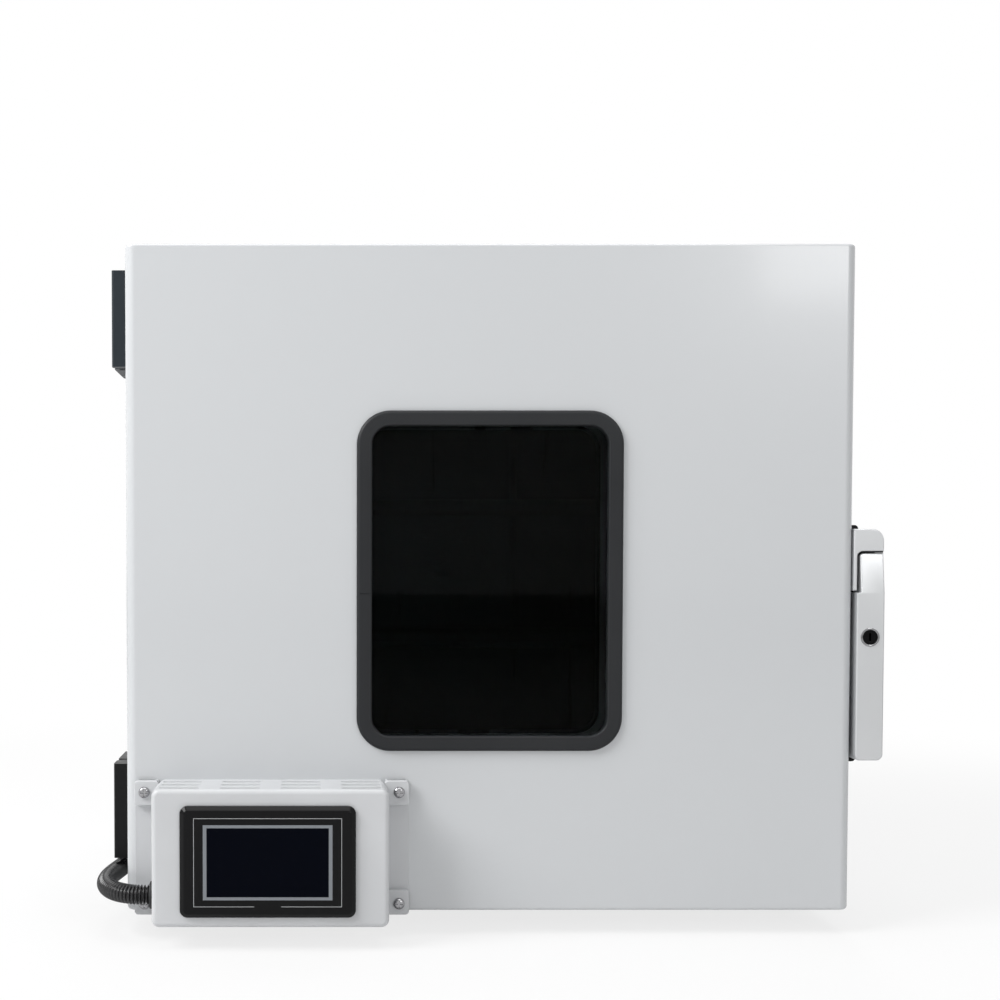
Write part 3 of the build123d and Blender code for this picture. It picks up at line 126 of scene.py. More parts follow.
def spread(material, source, low, high, target):
    """A shader input that varies between two values, or two colours, with a pattern."""
    tree = material.node_tree
    ramp = tree.nodes.new("ShaderNodeValToRGB")
    ends = [value if isinstance(value, tuple) else (value,) * 3 for value in (low, high)]
    ramp.color_ramp.elements[0].position = 0.2
    ramp.color_ramp.elements[1].position = 0.8
    for stop, colour in zip(ramp.color_ramp.elements, ends):
        stop.color = (*colour, 1)
    tree.links.new(source, ramp.inputs["Fac"])
    tree.links.new(ramp.outputs["Color"], shader_of(material).inputs[target])


def relief(material, source, height, strength=1.0):
    """Surface relief of a given height, in metres, from a pattern."""
    tree = material.node_tree
    bump = tree.nodes.new("ShaderNodeBump")
    bump.inputs["Strength"].default_value = strength
    bump.inputs["Distance"].default_value = height
    tree.links.new(source, bump.inputs["Height"])
    earlier = shader_of(material).inputs["Normal"]
    if earlier.links:
        tree.links.new(earlier.links[0].from_socket, bump.inputs["Normal"])
    tree.links.new(bump.outputs["Normal"], earlier)


def paint(material, *pieces):
    """Gives a material to pieces, or to CAD nodes by name."""
    for piece in pieces:
        piece = nodes[piece] if isinstance(piece, str) else piece
        piece.data.materials.clear()
        piece.data.materials.append(material)


def smooth_line(name, points):
    """The points of the smooth line that a route's control points give, in order."""
    curve = bpy.data.curves.new(name, "CURVE")
    curve.dimensions = "3D"
    curve.resolution_u = 24
    spline = curve.splines.new("NURBS")
    spline.points.add(len(points) - 1)
    for control, point in zip(spline.points, points):
        control.co = (*point, 1)
    spline.order_u = 3
    spline.use_endpoint_u = True
    holder = bpy.data.objects.new(name, curve)
    bpy.context.scene.collection.objects.link(holder)
    bpy.context.view_layer.update()
    graph = bpy.context.evaluated_depsgraph_get()
    line = bpy.data.meshes.new_from_object(holder.evaluated_get(graph))
    found = [vertex.co.copy() for vertex in line.vertices]
    bpy.data.objects.remove(holder)
    return found


def evenly(points, step):
    """Points at even steps along a line of points, its two ends included."""
    lengths = [0.0]
    for before, after in zip(points, points[1:]):
        lengths.append(lengths[-1] + (after - before).length)
    steps = round(lengths[-1] / step)
    found, at = [], 0
    for index in range(steps + 1):
        goal = lengths[-1] * index / steps
        while at < len(points) - 2 and lengths[at + 1] < goal:
            at += 1
        run = lengths[at + 1] - lengths[at]
        found.append(points[at].lerp(points[at + 1], (goal - lengths[at]) / run if run else 0))
    return found


def tube_mesh(name, line, radii, sides):
    """A closed tube along a nearly level line, with a radius at each of its points."""
    shape = bmesh.new()
    rings = []
    for index, (centre, radius) in enumerate(zip(line, radii)):
        ahead = (line[min(index + 1, len(line) - 1)] - line[max(index - 1, 0)]).normalized()
        side = ahead.cross(Vector((0, 0, 1))).normalized()
        up = side.cross(ahead)
        turns = [math.tau * step / sides for step in range(sides)]
        outward = [side * math.cos(turn) + up * math.sin(turn) for turn in turns]
        rings.append([shape.verts.new(centre + way * radius) for way in outward])
    for ring, following in zip(rings, rings[1:]):
        for step in range(sides):
            nearby = (step + 1) % sides
            shape.faces.new((ring[step], ring[nearby], following[nearby], following[step]))
    shape.faces.new(list(reversed(rings[0])))
    shape.faces.new(rings[-1])
    bmesh.ops.recalc_face_normals(shape, faces=shape.faces)
    mesh = bpy.data.meshes.new(name)
    shape.to_mesh(mesh)
    shape.free()
    for face in mesh.polygons:
        face.use_smooth = len(face.vertices) == 4
    piece = bpy.data.objects.new(name, mesh)
    bpy.context.scene.collection.objects.link(piece)
    return piece


conduit_line = smooth_line("conduit_line", conduit_route)
crest = conduit_diameter / 2
flank = (crest + conduit_valley) / 2
rib_profile = [conduit_valley, conduit_valley, flank, crest, crest, flank]
rib_stations = evenly(conduit_line, conduit_pitch / len(rib_profile))
rib_radii = [rib_profile[index % len(rib_profile)] for index in range(len(rib_stations))]
conduit = tube_mesh("conduit_tube", rib_stations, rib_radii, conduit_sides)
conduit_black, conduit_shader = finish("conduit_polyamide", (0.006, 0.006, 0.007), 0.3)
conduit_shader.inputs["Specular IOR Level"].default_value = 0.6
spread(conduit_black, noise(conduit_black, 60), 0.1, 0.15, "Roughness")
relief(conduit_black, noise(conduit_black, 300), 0.00001, 0.3)
paint(conduit_black, conduit)
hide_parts("conduit")
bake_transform(conduit)


# The outer casing is one sheet bent over both sides and the top, with a fold under each side, and coated in
# the same light grey powder as the door. Slots punched in both sides let the electrical compartment
# breathe.
casing_low, casing_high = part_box("outer_casing")
casing_sheet = 0.0015
casing_bend = 0.008
casing_fold = 0.015
vent_length, vent_width, vent_pitch = 0.056, 0.004, 0.012
vent_round = 0.0019
vent_middle = 0.25775
vent_steps = (-1.5, -0.5, 0.5, 1.5)
vent_levels = (0.110, 0.470)
vent_reach = 0.31


def block(name, low, high):
    """A box between two corners, as a new piece on its own."""
    bpy.ops.object.select_all(action="DESELECT")
    middle = [(a + b) / 2 for a, b in zip(low, high)]
    bpy.ops.mesh.primitive_cube_add(size=1, location=middle)
    piece = bpy.context.object
    piece.name = name
    piece.scale = [b - a for a, b in zip(low, high)]
    bpy.ops.object.transform_apply(location=True, rotation=False, scale=True)
    return piece


def choose(kind, test):
    """Selects the vertices, edges or faces of the mesh in edit mode that pass a test."""
    bpy.ops.mesh.select_mode(type=kind)
    bpy.ops.mesh.select_all(action="DESELECT")
    mesh = bpy.context.object.data
    shape = bmesh.from_edit_mesh(mesh)
    parts = {"VERT": shape.verts, "EDGE": shape.edges, "FACE": shape.faces}[kind]
    for part in parts:
        if test(part):
            part.select_set(True)
    bmesh.update_edit_mesh(mesh)


def middle_of(edge):
    """The point half way along an edge."""
    return (edge.verts[0].co + edge.verts[1].co) / 2


def along(edge, axis):
    """Whether an edge runs along an axis, 0 to 2."""
    run = edge.verts[1].co - edge.verts[0].co
    return abs(run[axis]) > 0.999 * run.length


def near(value, target, slack=1e-5):
    """Whether two measures are the same but for rounding."""
    return abs(value - target) < slack


def take(piece):
    """Selects a piece alone and makes it the active one."""
    bpy.ops.object.select_all(action="DESELECT")
    piece.select_set(True)
    bpy.context.view_layer.objects.active = piece


def edit(piece):
    """Opens a piece's mesh for editing."""
    take(piece)
    bpy.ops.object.mode_set(mode="EDIT")


def done():
    """Closes the mesh that is open for editing."""
    bpy.ops.object.mode_set(mode="OBJECT")


def apply_all(piece):
    """Applies every modifier of a piece, in order."""
    take(piece)
    for modifier in list(piece.modifiers):
        bpy.ops.object.modifier_apply(modifier=modifier.name)


def soften(piece, angle=35):
    """Smooth shading round the bends, with the flat faces kept flat."""
    take(piece)
    bpy.ops.object.shade_smooth_by_angle(angle=math.radians(angle))
    weights = piece.modifiers.new("weights", "WEIGHTED_NORMAL")
    weights.keep_sharp = True
    apply_all(piece)


def bevel(width, segments):
    """Rounds the selected edges."""
    bpy.ops.mesh.bevel(
        offset=width, offset_type="OFFSET", segments=segments, profile=0.5, affect="EDGES"
    )


def cut(piece, *tools):
    """Cuts tools out of a piece and removes them."""
    for tool in tools:
        step = piece.modifiers.new("cut", "BOOLEAN")
        step.operation = "DIFFERENCE"
        step.solver = "EXACT"
        step.object = tool
    apply_all(piece)
    for tool in tools:
        bpy.data.objects.remove(tool)


def join(piece, *others):
    """Makes several pieces one."""
    take(piece)
    for other in others:
        other.select_set(True)
    bpy.ops.object.join()


def rounded_block(name, low, high, axis, radius, segments=8):
    """A box whose four edges along one axis are rounded."""
    piece = block(name, low, high)
    edit(piece)
    choose("EDGE", lambda edge: along(edge, axis))
    bevel(radius, segments)
    done()
    return piece


def disc(name, place, axis, radius, depth, sides=48):
    """A round bar centred on a place, along X, Y or Z."""
    turn = {"X": (0, math.radians(90), 0), "Y": (math.radians(90), 0, 0), "Z": (0, 0, 0)}[axis]
    bpy.ops.object.select_all(action="DESELECT")
    bpy.ops.mesh.primitive_cylinder_add(
        vertices=sides, radius=radius, depth=depth, location=place, rotation=turn
    )
    piece = bpy.context.object
    piece.name = name
    bpy.ops.object.transform_apply(location=True, rotation=True, scale=False)
    return piece


def thicken(piece, thickness):
    """Gives a sheet shell its wall, inwards."""
    wall = piece.modifiers.new("sheet", "SOLIDIFY")
    wall.thickness = thickness
    wall.offset = -1
    apply_all(piece)


def settle(piece, body, material, slot, *stands_for):
    """Finishes a piece: its material, the body it rides on and the solids it stands for. The slot is not
    used.
    """
    paint(material, piece)
    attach(piece, body)
    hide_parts(*stands_for)


powder_grey, powder_shader = finish("powder_coat_grey", (0.60, 0.615, 0.63), 0.26)
powder_shader.inputs["Coat Weight"].default_value = 0.3
powder_shader.inputs["Coat Roughness"].default_value = 0.1
powder_tones = ((0.597, 0.612, 0.627), (0.603, 0.618, 0.633))
spread(powder_grey, noise(powder_grey, 1.6, 1), *powder_tones, "Base Color")
spread(powder_grey, noise(powder_grey, 60, 2), 0.25, 0.27, "Roughness")
relief(powder_grey, noise(powder_grey, 420, 2), 0.00003, 0.3)

casing = block("casing_wrap", casing_low, casing_high)
edit(casing)
choose("FACE", lambda face: abs(face.normal.y) > 0.9 or face.normal.z < -0.9)
bpy.ops.mesh.delete(type="ONLY_FACE")
choose("EDGE", lambda edge: along(edge, 1) and near(middle_of(edge).z, casing_high.z))
bevel(casing_bend, 8)
for side in (-1, 1):
    choose(
        "EDGE",
        lambda edge: along(edge, 1)
        and near(middle_of(edge).z, casing_low.z)
        and middle_of(edge).x * side > 0,
    )
    bpy.ops.mesh.extrude_edges_move(TRANSFORM_OT_translate={"value": (-side * casing_fold, 0, 0)})
bpy.ops.mesh.select_all(action="SELECT")
bpy.ops.mesh.normals_make_consistent(inside=False)
done()
thicken(casing, casing_sheet)
vent_tools = []
for level in vent_levels:
    for step in vent_steps:
        y = vent_middle + step * vent_pitch
        low = (-vent_reach, y - vent_width / 2, level - vent_length / 2)
        high = (vent_reach, y + vent_width / 2, level + vent_length / 2)
        vent_tools.append(rounded_block("vent", low, high, 0, vent_round, 4))
cut(casing, *vent_tools)
soften(casing)
settle(casing, "cabinet", powder_grey, "casing_paint", "outer_casing")


# The base is a folded pan of zinc-coated sheet with two pressed ribs. It stands on four rubber feet, each
# held by one plated screw from below.
merge_distance = 1e-6
flat_angle = math.radians(0.5)


def satin(name, colour, low, high, scale=40, stretch=(1, 1, 1), metallic=1.0, height=0.00003):
    """Metal with a fine drawn grain."""
    material = finish(name, colour, (low + high) / 2, metallic)[0]
    spread(material, noise(material, scale, 4, stretch), low, high, "Roughness")
    relief(material, noise(material, scale * 4, 3, stretch), height, 0.4)
    return material


def moulded(name, colour, low, high, height=0.00006, scale=700):
    """Plastic or rubber with the fine texture of its mould."""
    material = finish(name, colour, (low + high) / 2)[0]
    darker = tuple(part * 0.9 for part in colour)
    lighter = tuple(min(1.0, part * 1.1) for part in colour)
    spread(material, noise(material, 8, 3), darker, lighter, "Base Color")
    spread(material, noise(material, 90, 4), low, high, "Roughness")
    relief(material, noise(material, scale, 2), height, 0.4)
    return material


def eased(node, body, material, slot, width=0.0004, angle=35):
    """A machined or moulded piece with its sharp edges eased, over the solid that it stands for."""
    piece = bpy.data.objects.new(f"{node}_eased", nodes[node].data.copy())
    bpy.context.scene.collection.objects.link(piece)
    edit(piece)
    bpy.ops.mesh.select_all(action="SELECT")
    bpy.ops.mesh.remove_doubles(threshold=merge_distance)
    bpy.ops.mesh.dissolve_limited(angle_limit=flat_angle)
    done()
    ease = piece.modifiers.new("ease", "BEVEL")
    ease.width = width
    ease.segments = 2
    ease.limit_method = "ANGLE"
    ease.angle_limit = math.radians(angle)
    apply_all(piece)
    soften(piece, 30)
    settle(piece, body, material, slot, node)
    return piece


zinc = satin("zinc_sheet", (0.50, 0.52, 0.53), 0.35, 0.55, 25)
plated = satin("plated_steel", (0.68, 0.68, 0.69), 0.14, 0.26, 80)
foot_rubber = moulded("foot_rubber", (0.014, 0.014, 0.015), 0.55, 0.7)
paint(zinc, "base_tray")
paint(plated, "foot_screws")
eased("rubber_feet", "cabinet", foot_rubber, "rubber", 0.001)


# The chamber is a seamless-looking stainless tub, deep-cornered for cleaning, whose flange sits behind the
# folded stainless face that the door's seal shuts against.
tub_low, tub_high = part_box("inner_liner")
face_low, face_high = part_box("front_frame")
tub_sheet = 0.001
tub_flange = 0.013
tub_corner = 0.015
mouth_half = (0.210, 0.190)
mouth_corner = 0.014
middle_z = 0.290
face_return_bend = 0.0065
overshoot = 0.01

stainless = satin("stainless_satin", (0.60, 0.605, 0.61), 0.25, 0.33, 60, (1, 1, 0.05))
tub_half = (mouth_half[0] + tub_sheet, mouth_half[1] + tub_sheet)
tub = block(
    "chamber_tub",
    (-tub_half[0], tub_low.y + tub_sheet, middle_z - tub_half[1]),
    (tub_half[0], tub_high.y, middle_z + tub_half[1]),
)
edit(tub)
choose("FACE", lambda face: face.normal.y < -0.9)
bpy.ops.mesh.delete(type="ONLY_FACE")
choose("EDGE", lambda edge: along(edge, 1))
bevel(tub_corner, 10)
choose("EDGE", lambda edge: edge.is_boundary)
bpy.ops.mesh.extrude_edges_move()
bpy.ops.transform.resize(
    value=((tub_half[0] + tub_flange) / tub_half[0], 1, (tub_half[1] + tub_flange) / tub_half[1]),
    center_override=(0, 0, middle_z),
)
bpy.ops.mesh.select_all(action="SELECT")
bpy.ops.mesh.normals_make_consistent(inside=False)
done()
thicken(tub, tub_sheet)
soften(tub)
settle(tub, "cabinet", stainless, "stainless", "inner_liner")

mouth_face = block("mouth_face", face_low, face_high)
edit(mouth_face)
choose("FACE", lambda face: face.normal.y > 0.9)
bpy.ops.mesh.delete(type="ONLY_FACE")
choose("EDGE", lambda edge: along(edge, 1) and near(middle_of(edge).z, face_high.z))
bevel(face_return_bend, 6)
done()
thicken(mouth_face, casing_sheet)


def opening_tool(half, corner, middle, front, back, segments=12):
    """A rounded rectangle's worth of space, to cut an opening with."""
    low = (middle[0] - half[0], front, middle[1] - half[1])
    high = (middle[0] + half[0], back, middle[1] + half[1])
    return rounded_block("opening", low, high, 1, corner, segments)


mouth_tool = opening_tool(
    mouth_half, mouth_corner, (0, middle_z), face_low.y - overshoot, face_low.y + overshoot
)
cut(mouth_face, mouth_tool)
soften(mouth_face)
settle(mouth_face, "cabinet", stainless, "stainless", "front_frame")


# Mineral wool fills the space round the tub, in front of a zinc-coated bulkhead. The back is closed by a
# coated panel with folded edges, two blocks of slots and eight plated screws.
wool = moulded("mineral_wool", (0.46, 0.40, 0.28), 0.9, 1.0, 0.0012, 160)
paint(wool, "insulation_jacket")
paint(zinc, "rear_bulkhead")
paint(powder_grey, "rear_panel")
paint(plated, "casing_screws")


# Air is drawn through the middle slots of a stainless baffle by a curved-blade impeller of aluminium, blown
# over two ring heaters and back through the side slots. The motor sits behind the bulkhead on four
# standoffs.
heat_dark = satin("heater_sheath", (0.16, 0.14, 0.13), 0.4, 0.6, 120)
bare_aluminium = satin("bare_aluminium", (0.62, 0.63, 0.64), 0.3, 0.45, 90)
enamel = moulded("motor_enamel", (0.06, 0.065, 0.07), 0.35, 0.5)
paint(stainless, "air_baffle")
paint(heat_dark, "heater_element")
paint(bare_aluminium, "impeller")
paint(plated, "fan_shaft", "impeller_nut")
paint(enamel, "fan_motor")


# Two pressed stainless ladders hang on the side walls and carry two shelves. Each shelf is a bent rod of
# drawn stainless wire with cross wires welded on.
drawn_wire = satin("drawn_wire", (0.66, 0.66, 0.65), 0.16, 0.28, 110)
paint(stainless, "left_shelf_rack", "right_shelf_rack")
paint(drawn_wire, "lower_shelf", "upper_shelf")


# Behind the bulkhead: a probe and a safety thermostat whose sheaths reach the chamber, a relay on its heat
# sink, a boxed supply and a row of terminals, each screwed to the bulkhead.
black_nylon = moulded("black_nylon", (0.016, 0.016, 0.017), 0.4, 0.55)
beige = moulded("terminal_beige", (0.42, 0.38, 0.28), 0.5, 0.65)
paint(plated, "temperature_probe")
paint(black_nylon, "overheat_cutout")
paint(bare_aluminium, "solid_state_relay")
paint(zinc, "power_supply")
paint(beige, "terminal_block")


# On the back: a stainless exhaust spigot, the intake with its turning shutter, the mains cable's gland and
# a snap-in rocker switch.
paint(stainless, "intake_duct")
eased("exhaust_spigot", "cabinet", stainless, "stainless", 0.0003)
eased("damper_disc", "damper", plated, "bright_steel", 0.0003)
eased("mains_gland", "cabinet", black_nylon, "black_plastic", 0.0005)
eased("switch_frame", "cabinet", black_nylon, "black_plastic", 0.0003)
eased("power_rocker", "rocker", black_nylon, "black_plastic", 0.0003)


# Each hinge is a pair of steel block leaves on a plated pin, coated in slate black, one leaf screwed from
# inside to the door and the other to the casing. The coating goes from near black at the lower hinge to
# slate at the upper one by height, which is painted shade.
painted_shade_heights = (0.2, 0.4)
slate = satin("hinge_coating_painted_shade", (0.018, 0.022, 0.028), 0.36, 0.5, 220, metallic=0.2, height=0.0001)
tree = slate.node_tree
place = tree.nodes.new("ShaderNodeTexCoord")
parts = tree.nodes.new("ShaderNodeSeparateXYZ")
tree.links.new(place.outputs["Object"], parts.inputs["Vector"])
# Painted shade: the coating's colour darkens with height from the upper hinge down to the lower one.
height = tree.nodes.new("ShaderNodeMapRange")
height.inputs["From Min"].default_value = painted_shade_heights[0]
height.inputs["From Max"].default_value = painted_shade_heights[1]
tree.links.new(parts.outputs["Z"], height.inputs["Value"])
spread(slate, height.outputs["Result"], (0.003, 0.003, 0.0035), (0.020, 0.026, 0.032), "Base Color")
shader_of(slate).inputs["Specular IOR Level"].default_value = 0.25
eased("door_hinge_leaves", "door", slate, "black_metal", 0.0006)
eased("cabinet_hinge_leaves", "cabinet", slate, "black_metal", 0.0006)
paint(plated, "hinge_pins")


# The door's outer skin is one sheet of steel folded on all four sides, with a lip round its back, and
# coated in the same powder as the casing. Its window is punched out, and the cut edge hides under the
# rubber.
skin_side_radius = 0.0085
skin_edge_radius = 0.0025
skin_lip = 0.0155
window_middle = (0.0, 0.2885)
glass_half = (0.09535, 0.1254)
glass_corner = 0.015
neck_width = 0.005


def grown(growth):
    """The visible glass made larger all round: its half size and its corner."""
    return (glass_half[0] + growth, glass_half[1] + growth), glass_corner + growth


skin = block("door_shell", door_low, door_high)
edit(skin)
choose("FACE", lambda face: near(face.calc_center_median().y, door_high.y))
bpy.ops.mesh.delete(type="ONLY_FACE")
choose("EDGE", lambda edge: along(edge, 2) and near(middle_of(edge).y, door_face))
bevel(skin_side_radius, 10)
choose(
    "EDGE",
    lambda edge: not along(edge, 2)
    and not edge.is_boundary
    and any(near(middle_of(edge).z, level) for level in (door_low.z, door_high.z)),
)
bevel(skin_edge_radius, 4)
choose("EDGE", lambda edge: edge.is_boundary)
bpy.ops.mesh.extrude_edges_move()
half_wide, half_tall = door_high.x, (door_high.z - door_low.z) / 2
bpy.ops.transform.resize(
    value=((half_wide - skin_lip) / half_wide, 1, (half_tall - skin_lip) / half_tall),
    center_override=(0, door_high.y, (door_low.z + door_high.z) / 2),
)
bpy.ops.mesh.select_all(action="SELECT")
bpy.ops.mesh.normals_make_consistent(inside=False)
done()
thicken(skin, casing_sheet)
cut(skin, opening_tool(*grown(neck_width), window_middle, door_face - overshoot, door_face + overshoot))
soften(skin)
settle(skin, "door", powder_grey, "casing_paint", "door_skin")


# The window rubber is an extruded black profile pushed over the cut edge of the skin: a flat face, rounded
# outside and dipped at its inner lip, that meets itself in a butt joint half way up the left side.
rubber_low, rubber_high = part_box("window_gasket")
rubber_width = 0.0123
rubber_round = 0.0030
rubber_lip = 0.0014
butt_level = 0.2785
butt_width = 0.0005
butt_depth = 0.0007
butt_margin = 0.001


def window_ring(name, outer, inner, front, back, segments=12):
    """A flat frame round the window between two outlines."""
    ring = opening_tool(*grown(outer), window_middle, front, back, segments)
    ring.name = name
    cut(ring, opening_tool(*grown(inner), window_middle, front - overshoot, back + overshoot, segments))
    return ring


rubber_segments = 14
rubber = opening_tool(*grown(rubber_width), window_middle, rubber_low.y, door_face, rubber_segments)
rubber.name = "window_rubber"
edit(rubber)
choose("EDGE", lambda edge: all(near(vert.co.y, rubber_low.y) for vert in edge.verts))
bevel(rubber_round, 6)
done()
front, back = rubber_low.y - overshoot, door_face + overshoot
cut(rubber, opening_tool(*grown(0), window_middle, front, back, rubber_segments))
edit(rubber)
reach = (glass_half[0] + 0.0001, glass_half[1] + 0.0001)
choose(
    "EDGE",
    lambda edge: all(
        near(vert.co.y, rubber_low.y)
        and abs(vert.co.x) < reach[0]
        and abs(vert.co.z - window_middle[1]) < reach[1]
        for vert in edge.verts
    ),
)
bevel(rubber_lip, 4)
done()
joint_low = (
    -glass_half[0] - rubber_width - butt_margin,
    rubber_low.y - butt_margin,
    butt_level - butt_width / 2,
)
joint_high = (-glass_half[0] + butt_margin, rubber_low.y + butt_depth, butt_level + butt_width / 2)
cut(rubber, block("butt_joint", joint_low, joint_high))
join(rubber, window_ring("rubber_neck", neck_width, 0, door_face, rubber_high.y, rubber_segments))
soften(rubber, 40)
rubber_black, rubber_shader = finish("window_rubber_black", (0.018, 0.019, 0.021), 0.46)
rubber_shader.inputs["Specular IOR Level"].default_value = 0.22
rubber_tones = ((0.015, 0.016, 0.018), (0.022, 0.023, 0.025))
spread(rubber_black, noise(rubber_black, 9, 3), *rubber_tones, "Base Color")
spread(rubber_black, noise(rubber_black, 60, 4), 0.40, 0.55, "Roughness")
relief(rubber_black, noise(rubber_black, 500, 3), 0.00005, 0.5)
settle(rubber, "door", rubber_black, "rubber", "window_gasket")


# The window is double: toughened tinted glass in the rubber's groove and a darker pane behind, with a
# bright sheet sleeve between them. A flat stainless frame screwed to the inner panel holds the inner pane.
outer_growth = 0.0028
inner_growth = 0.0067
sleeve_growth = (0.006, 0.005)
holder_growth = (0.019, 0.002)


def tinted(name, colour, index):
    """Dark glass whose face gives back little of the room."""
    material, shader = finish(name, colour, 0.0)
    shader.inputs["Transmission Weight"].default_value = 1.0
    shader.inputs["IOR"].default_value = index
    lighter = tuple(part * 1.06 for part in colour)
    spread(material, noise(material, 5, 2), colour, lighter, "Base Color")
    return material


glass_low, glass_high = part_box("outer_glass")
pane_low, pane_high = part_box("inner_glass")
sleeve_low, sleeve_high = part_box("window_tunnel")
holder_low, holder_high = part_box("inner_window_frame")
outer_pane = opening_tool(*grown(outer_growth), window_middle, glass_low.y, glass_high.y)
outer_pane.name = "outer_pane"
soften(outer_pane)
outer_tint = tinted("window_glass", (0.60, 0.65, 0.66), 1.1)
settle(outer_pane, "door", outer_tint, "glass", "outer_glass")
inner_pane = opening_tool(*grown(inner_growth), window_middle, pane_low.y, pane_high.y)
inner_pane.name = "inner_pane"
soften(inner_pane)
inner_tint = tinted("inner_window_glass", (0.06, 0.075, 0.08), 1.06)
settle(inner_pane, "door", inner_tint, "glass", "inner_glass")
sleeve = window_ring("window_sleeve", *sleeve_growth, sleeve_low.y, sleeve_high.y)
soften(sleeve)
settle(sleeve, "door", stainless, "stainless", "window_tunnel")
holder = window_ring("pane_holder", *holder_growth, holder_low.y, holder_high.y)
soften(holder)
settle(holder, "door", stainless, "stainless", "inner_window_frame")


# Inside the door: a stainless inner panel over a mineral wool pad, with a red-brown silicone seal round the
# place of the chamber's mouth, and plated screws.
seal_low, seal_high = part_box("door_gasket")
seal_outer, seal_inner = 0.019, 0.009
seal_round = 0.0016
silicone = moulded("red_silicone", (0.20, 0.035, 0.02), 0.45, 0.6)


def mouth_outline(growth):
    """The chamber's mouth made larger all round: its half size and its corner."""
    return (mouth_half[0] + growth, mouth_half[1] + growth), mouth_corner + growth


seal = opening_tool(*mouth_outline(seal_outer), (0, middle_z), seal_low.y, seal_high.y)
seal.name = "door_seal"
front, back = seal_low.y - overshoot, seal_high.y + overshoot
cut(seal, opening_tool(*mouth_outline(seal_inner), (0, middle_z), front, back))
edit(seal)
choose(
    "EDGE",
    lambda edge: all(near(vert.co.y, seal_high.y) for vert in edge.verts)
    and any(face.normal.y < 0.5 for face in edge.link_faces),
)
bevel(seal_round, 4)
done()
soften(seal)
settle(seal, "door", silicone, "silicone", "door_gasket")
paint(stainless, "door_inner_panel")
paint(wool, "door_insulation")
paint(plated, "door_screws")


# The control box is a grey moulding, open at the back, with a flat ear each side, four raised tabs, a
# tapered pocket at three corners that clears a screwdriver, and twelve slots in its top. Four screws hold
# it on the door.
ear_low, box_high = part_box("panel_box")
box_front = ear_low.y
ear_width = 0.0182
ear_sheet = 0.003
ear_corner = 0.003
ear_ease = 0.0006
box_wall = 0.003
box_corner = 0.006
box_edge = 0.004
tab_size = 0.020
tab_height = 0.008
tab_sink = 0.0005
tab_ease = 0.0008
screw_in = 0.0082
screw_shift = 0.001
pocket_foot, pocket_tip, pocket_length = 0.0175, 0.0095, 0.040
slot_size = (0.030, 0.002)
slot_columns = (-0.07155, -0.02385, 0.02385, 0.07155)
slot_rows = (0.0124, 0.0279, 0.0434)
groove_margin = 0.001
groove_depth = 0.0012
slot_reach = 0.005
slot_round = 0.98
overlap = 0.001

left, right = ear_low.x + ear_width, box_high.x - ear_width
bottom, top = ear_low.z, box_high.z
box_x, box_z = (left + right) / 2, (bottom + top) / 2
screw_places = [
    (x, z)
    for x in (ear_low.x + screw_in, box_high.x - screw_in)
    for z in (bottom + screw_in + screw_shift, top - screw_in - screw_shift)
]


def pocket(x, z, growth=0.0):
    """The tapered space in front of a screw."""
    bpy.ops.object.select_all(action="DESELECT")
    bpy.ops.mesh.primitive_cone_add(
        vertices=64,
        radius1=pocket_foot + growth,
        radius2=pocket_tip + growth,
        depth=pocket_length,
        location=(x, door_face - pocket_length / 2, z),
        rotation=(math.radians(90), 0, 0),
    )
    bpy.ops.object.transform_apply(location=True, rotation=True, scale=False)
    return bpy.context.object


box_shell = rounded_block("control_box", (left, box_front, bottom), (right, door_face, top), 1, box_corner)
edit(box_shell)
choose("EDGE", lambda edge: all(near(vert.co.y, box_front) for vert in edge.verts))
bevel(box_edge, 6)
done()
hollow = rounded_block(
    "hollow",
    (left + box_wall, box_front + box_wall, bottom + box_wall),
    (right - box_wall, door_face + overlap, top - box_wall),
    1,
    box_corner - box_wall,
)
open_corners = screw_places[1:]
cut(box_shell, *[pocket(x, z) for x, z in open_corners])
cut(hollow, *[pocket(x, z, box_wall) for x, z in open_corners])
cut(box_shell, hollow)
slot_tools = []
for column in slot_columns:
    for row in slot_rows:
        x, y = box_x + column, door_face - row
        for name, margin, depth in (("slot", 0, slot_reach), ("groove", groove_margin, groove_depth)):
            half = (slot_size[0] / 2 + margin, slot_size[1] / 2 + margin)
            low = (x - half[0], y - half[1], top - depth)
            high = (x + half[0], y + half[1], top + overlap)
            slot_tools.append(rounded_block(name, low, high, 2, half[1] * slot_round, 4))
cut(box_shell, *slot_tools)
for edge_x in (left, right):
    outer = ear_low.x if edge_x == left else box_high.x
    inner = edge_x + (overlap if edge_x == left else -overlap)
    low = (min(outer, inner), door_face - ear_sheet, bottom)
    ear = block("ear", low, (max(outer, inner), door_face, top))
    edit(ear)
    choose("EDGE", lambda edge: along(edge, 1) and near(middle_of(edge).x, outer))
    bevel(ear_corner, 5)
    choose("EDGE", lambda edge: all(near(vert.co.y, door_face - ear_sheet) for vert in edge.verts))
    bevel(ear_ease, 2)
    done()
    join(box_shell, ear)
    for tab_bottom in (bottom, top - tab_size):
        near_side, far_side = (outer, outer + tab_size) if edge_x == left else (outer - tab_size, outer)
        tab = rounded_block(
            "tab",
            (near_side, door_face - tab_height, tab_bottom),
            (far_side, door_face - tab_sink, tab_bottom + tab_size),
            1,
            ear_corner,
            5,
        )
        edit(tab)
        choose("EDGE", lambda edge: all(near(vert.co.y, door_face - tab_height) for vert in edge.verts))
        bevel(tab_ease, 3)
        done()
        join(box_shell, tab)
soften(box_shell, 30)
box_grey = moulded("box_grey", (0.60, 0.61, 0.625), 0.30, 0.42, 0.00003)
settle(box_shell, "door", box_grey, "box_plastic", "panel_box")


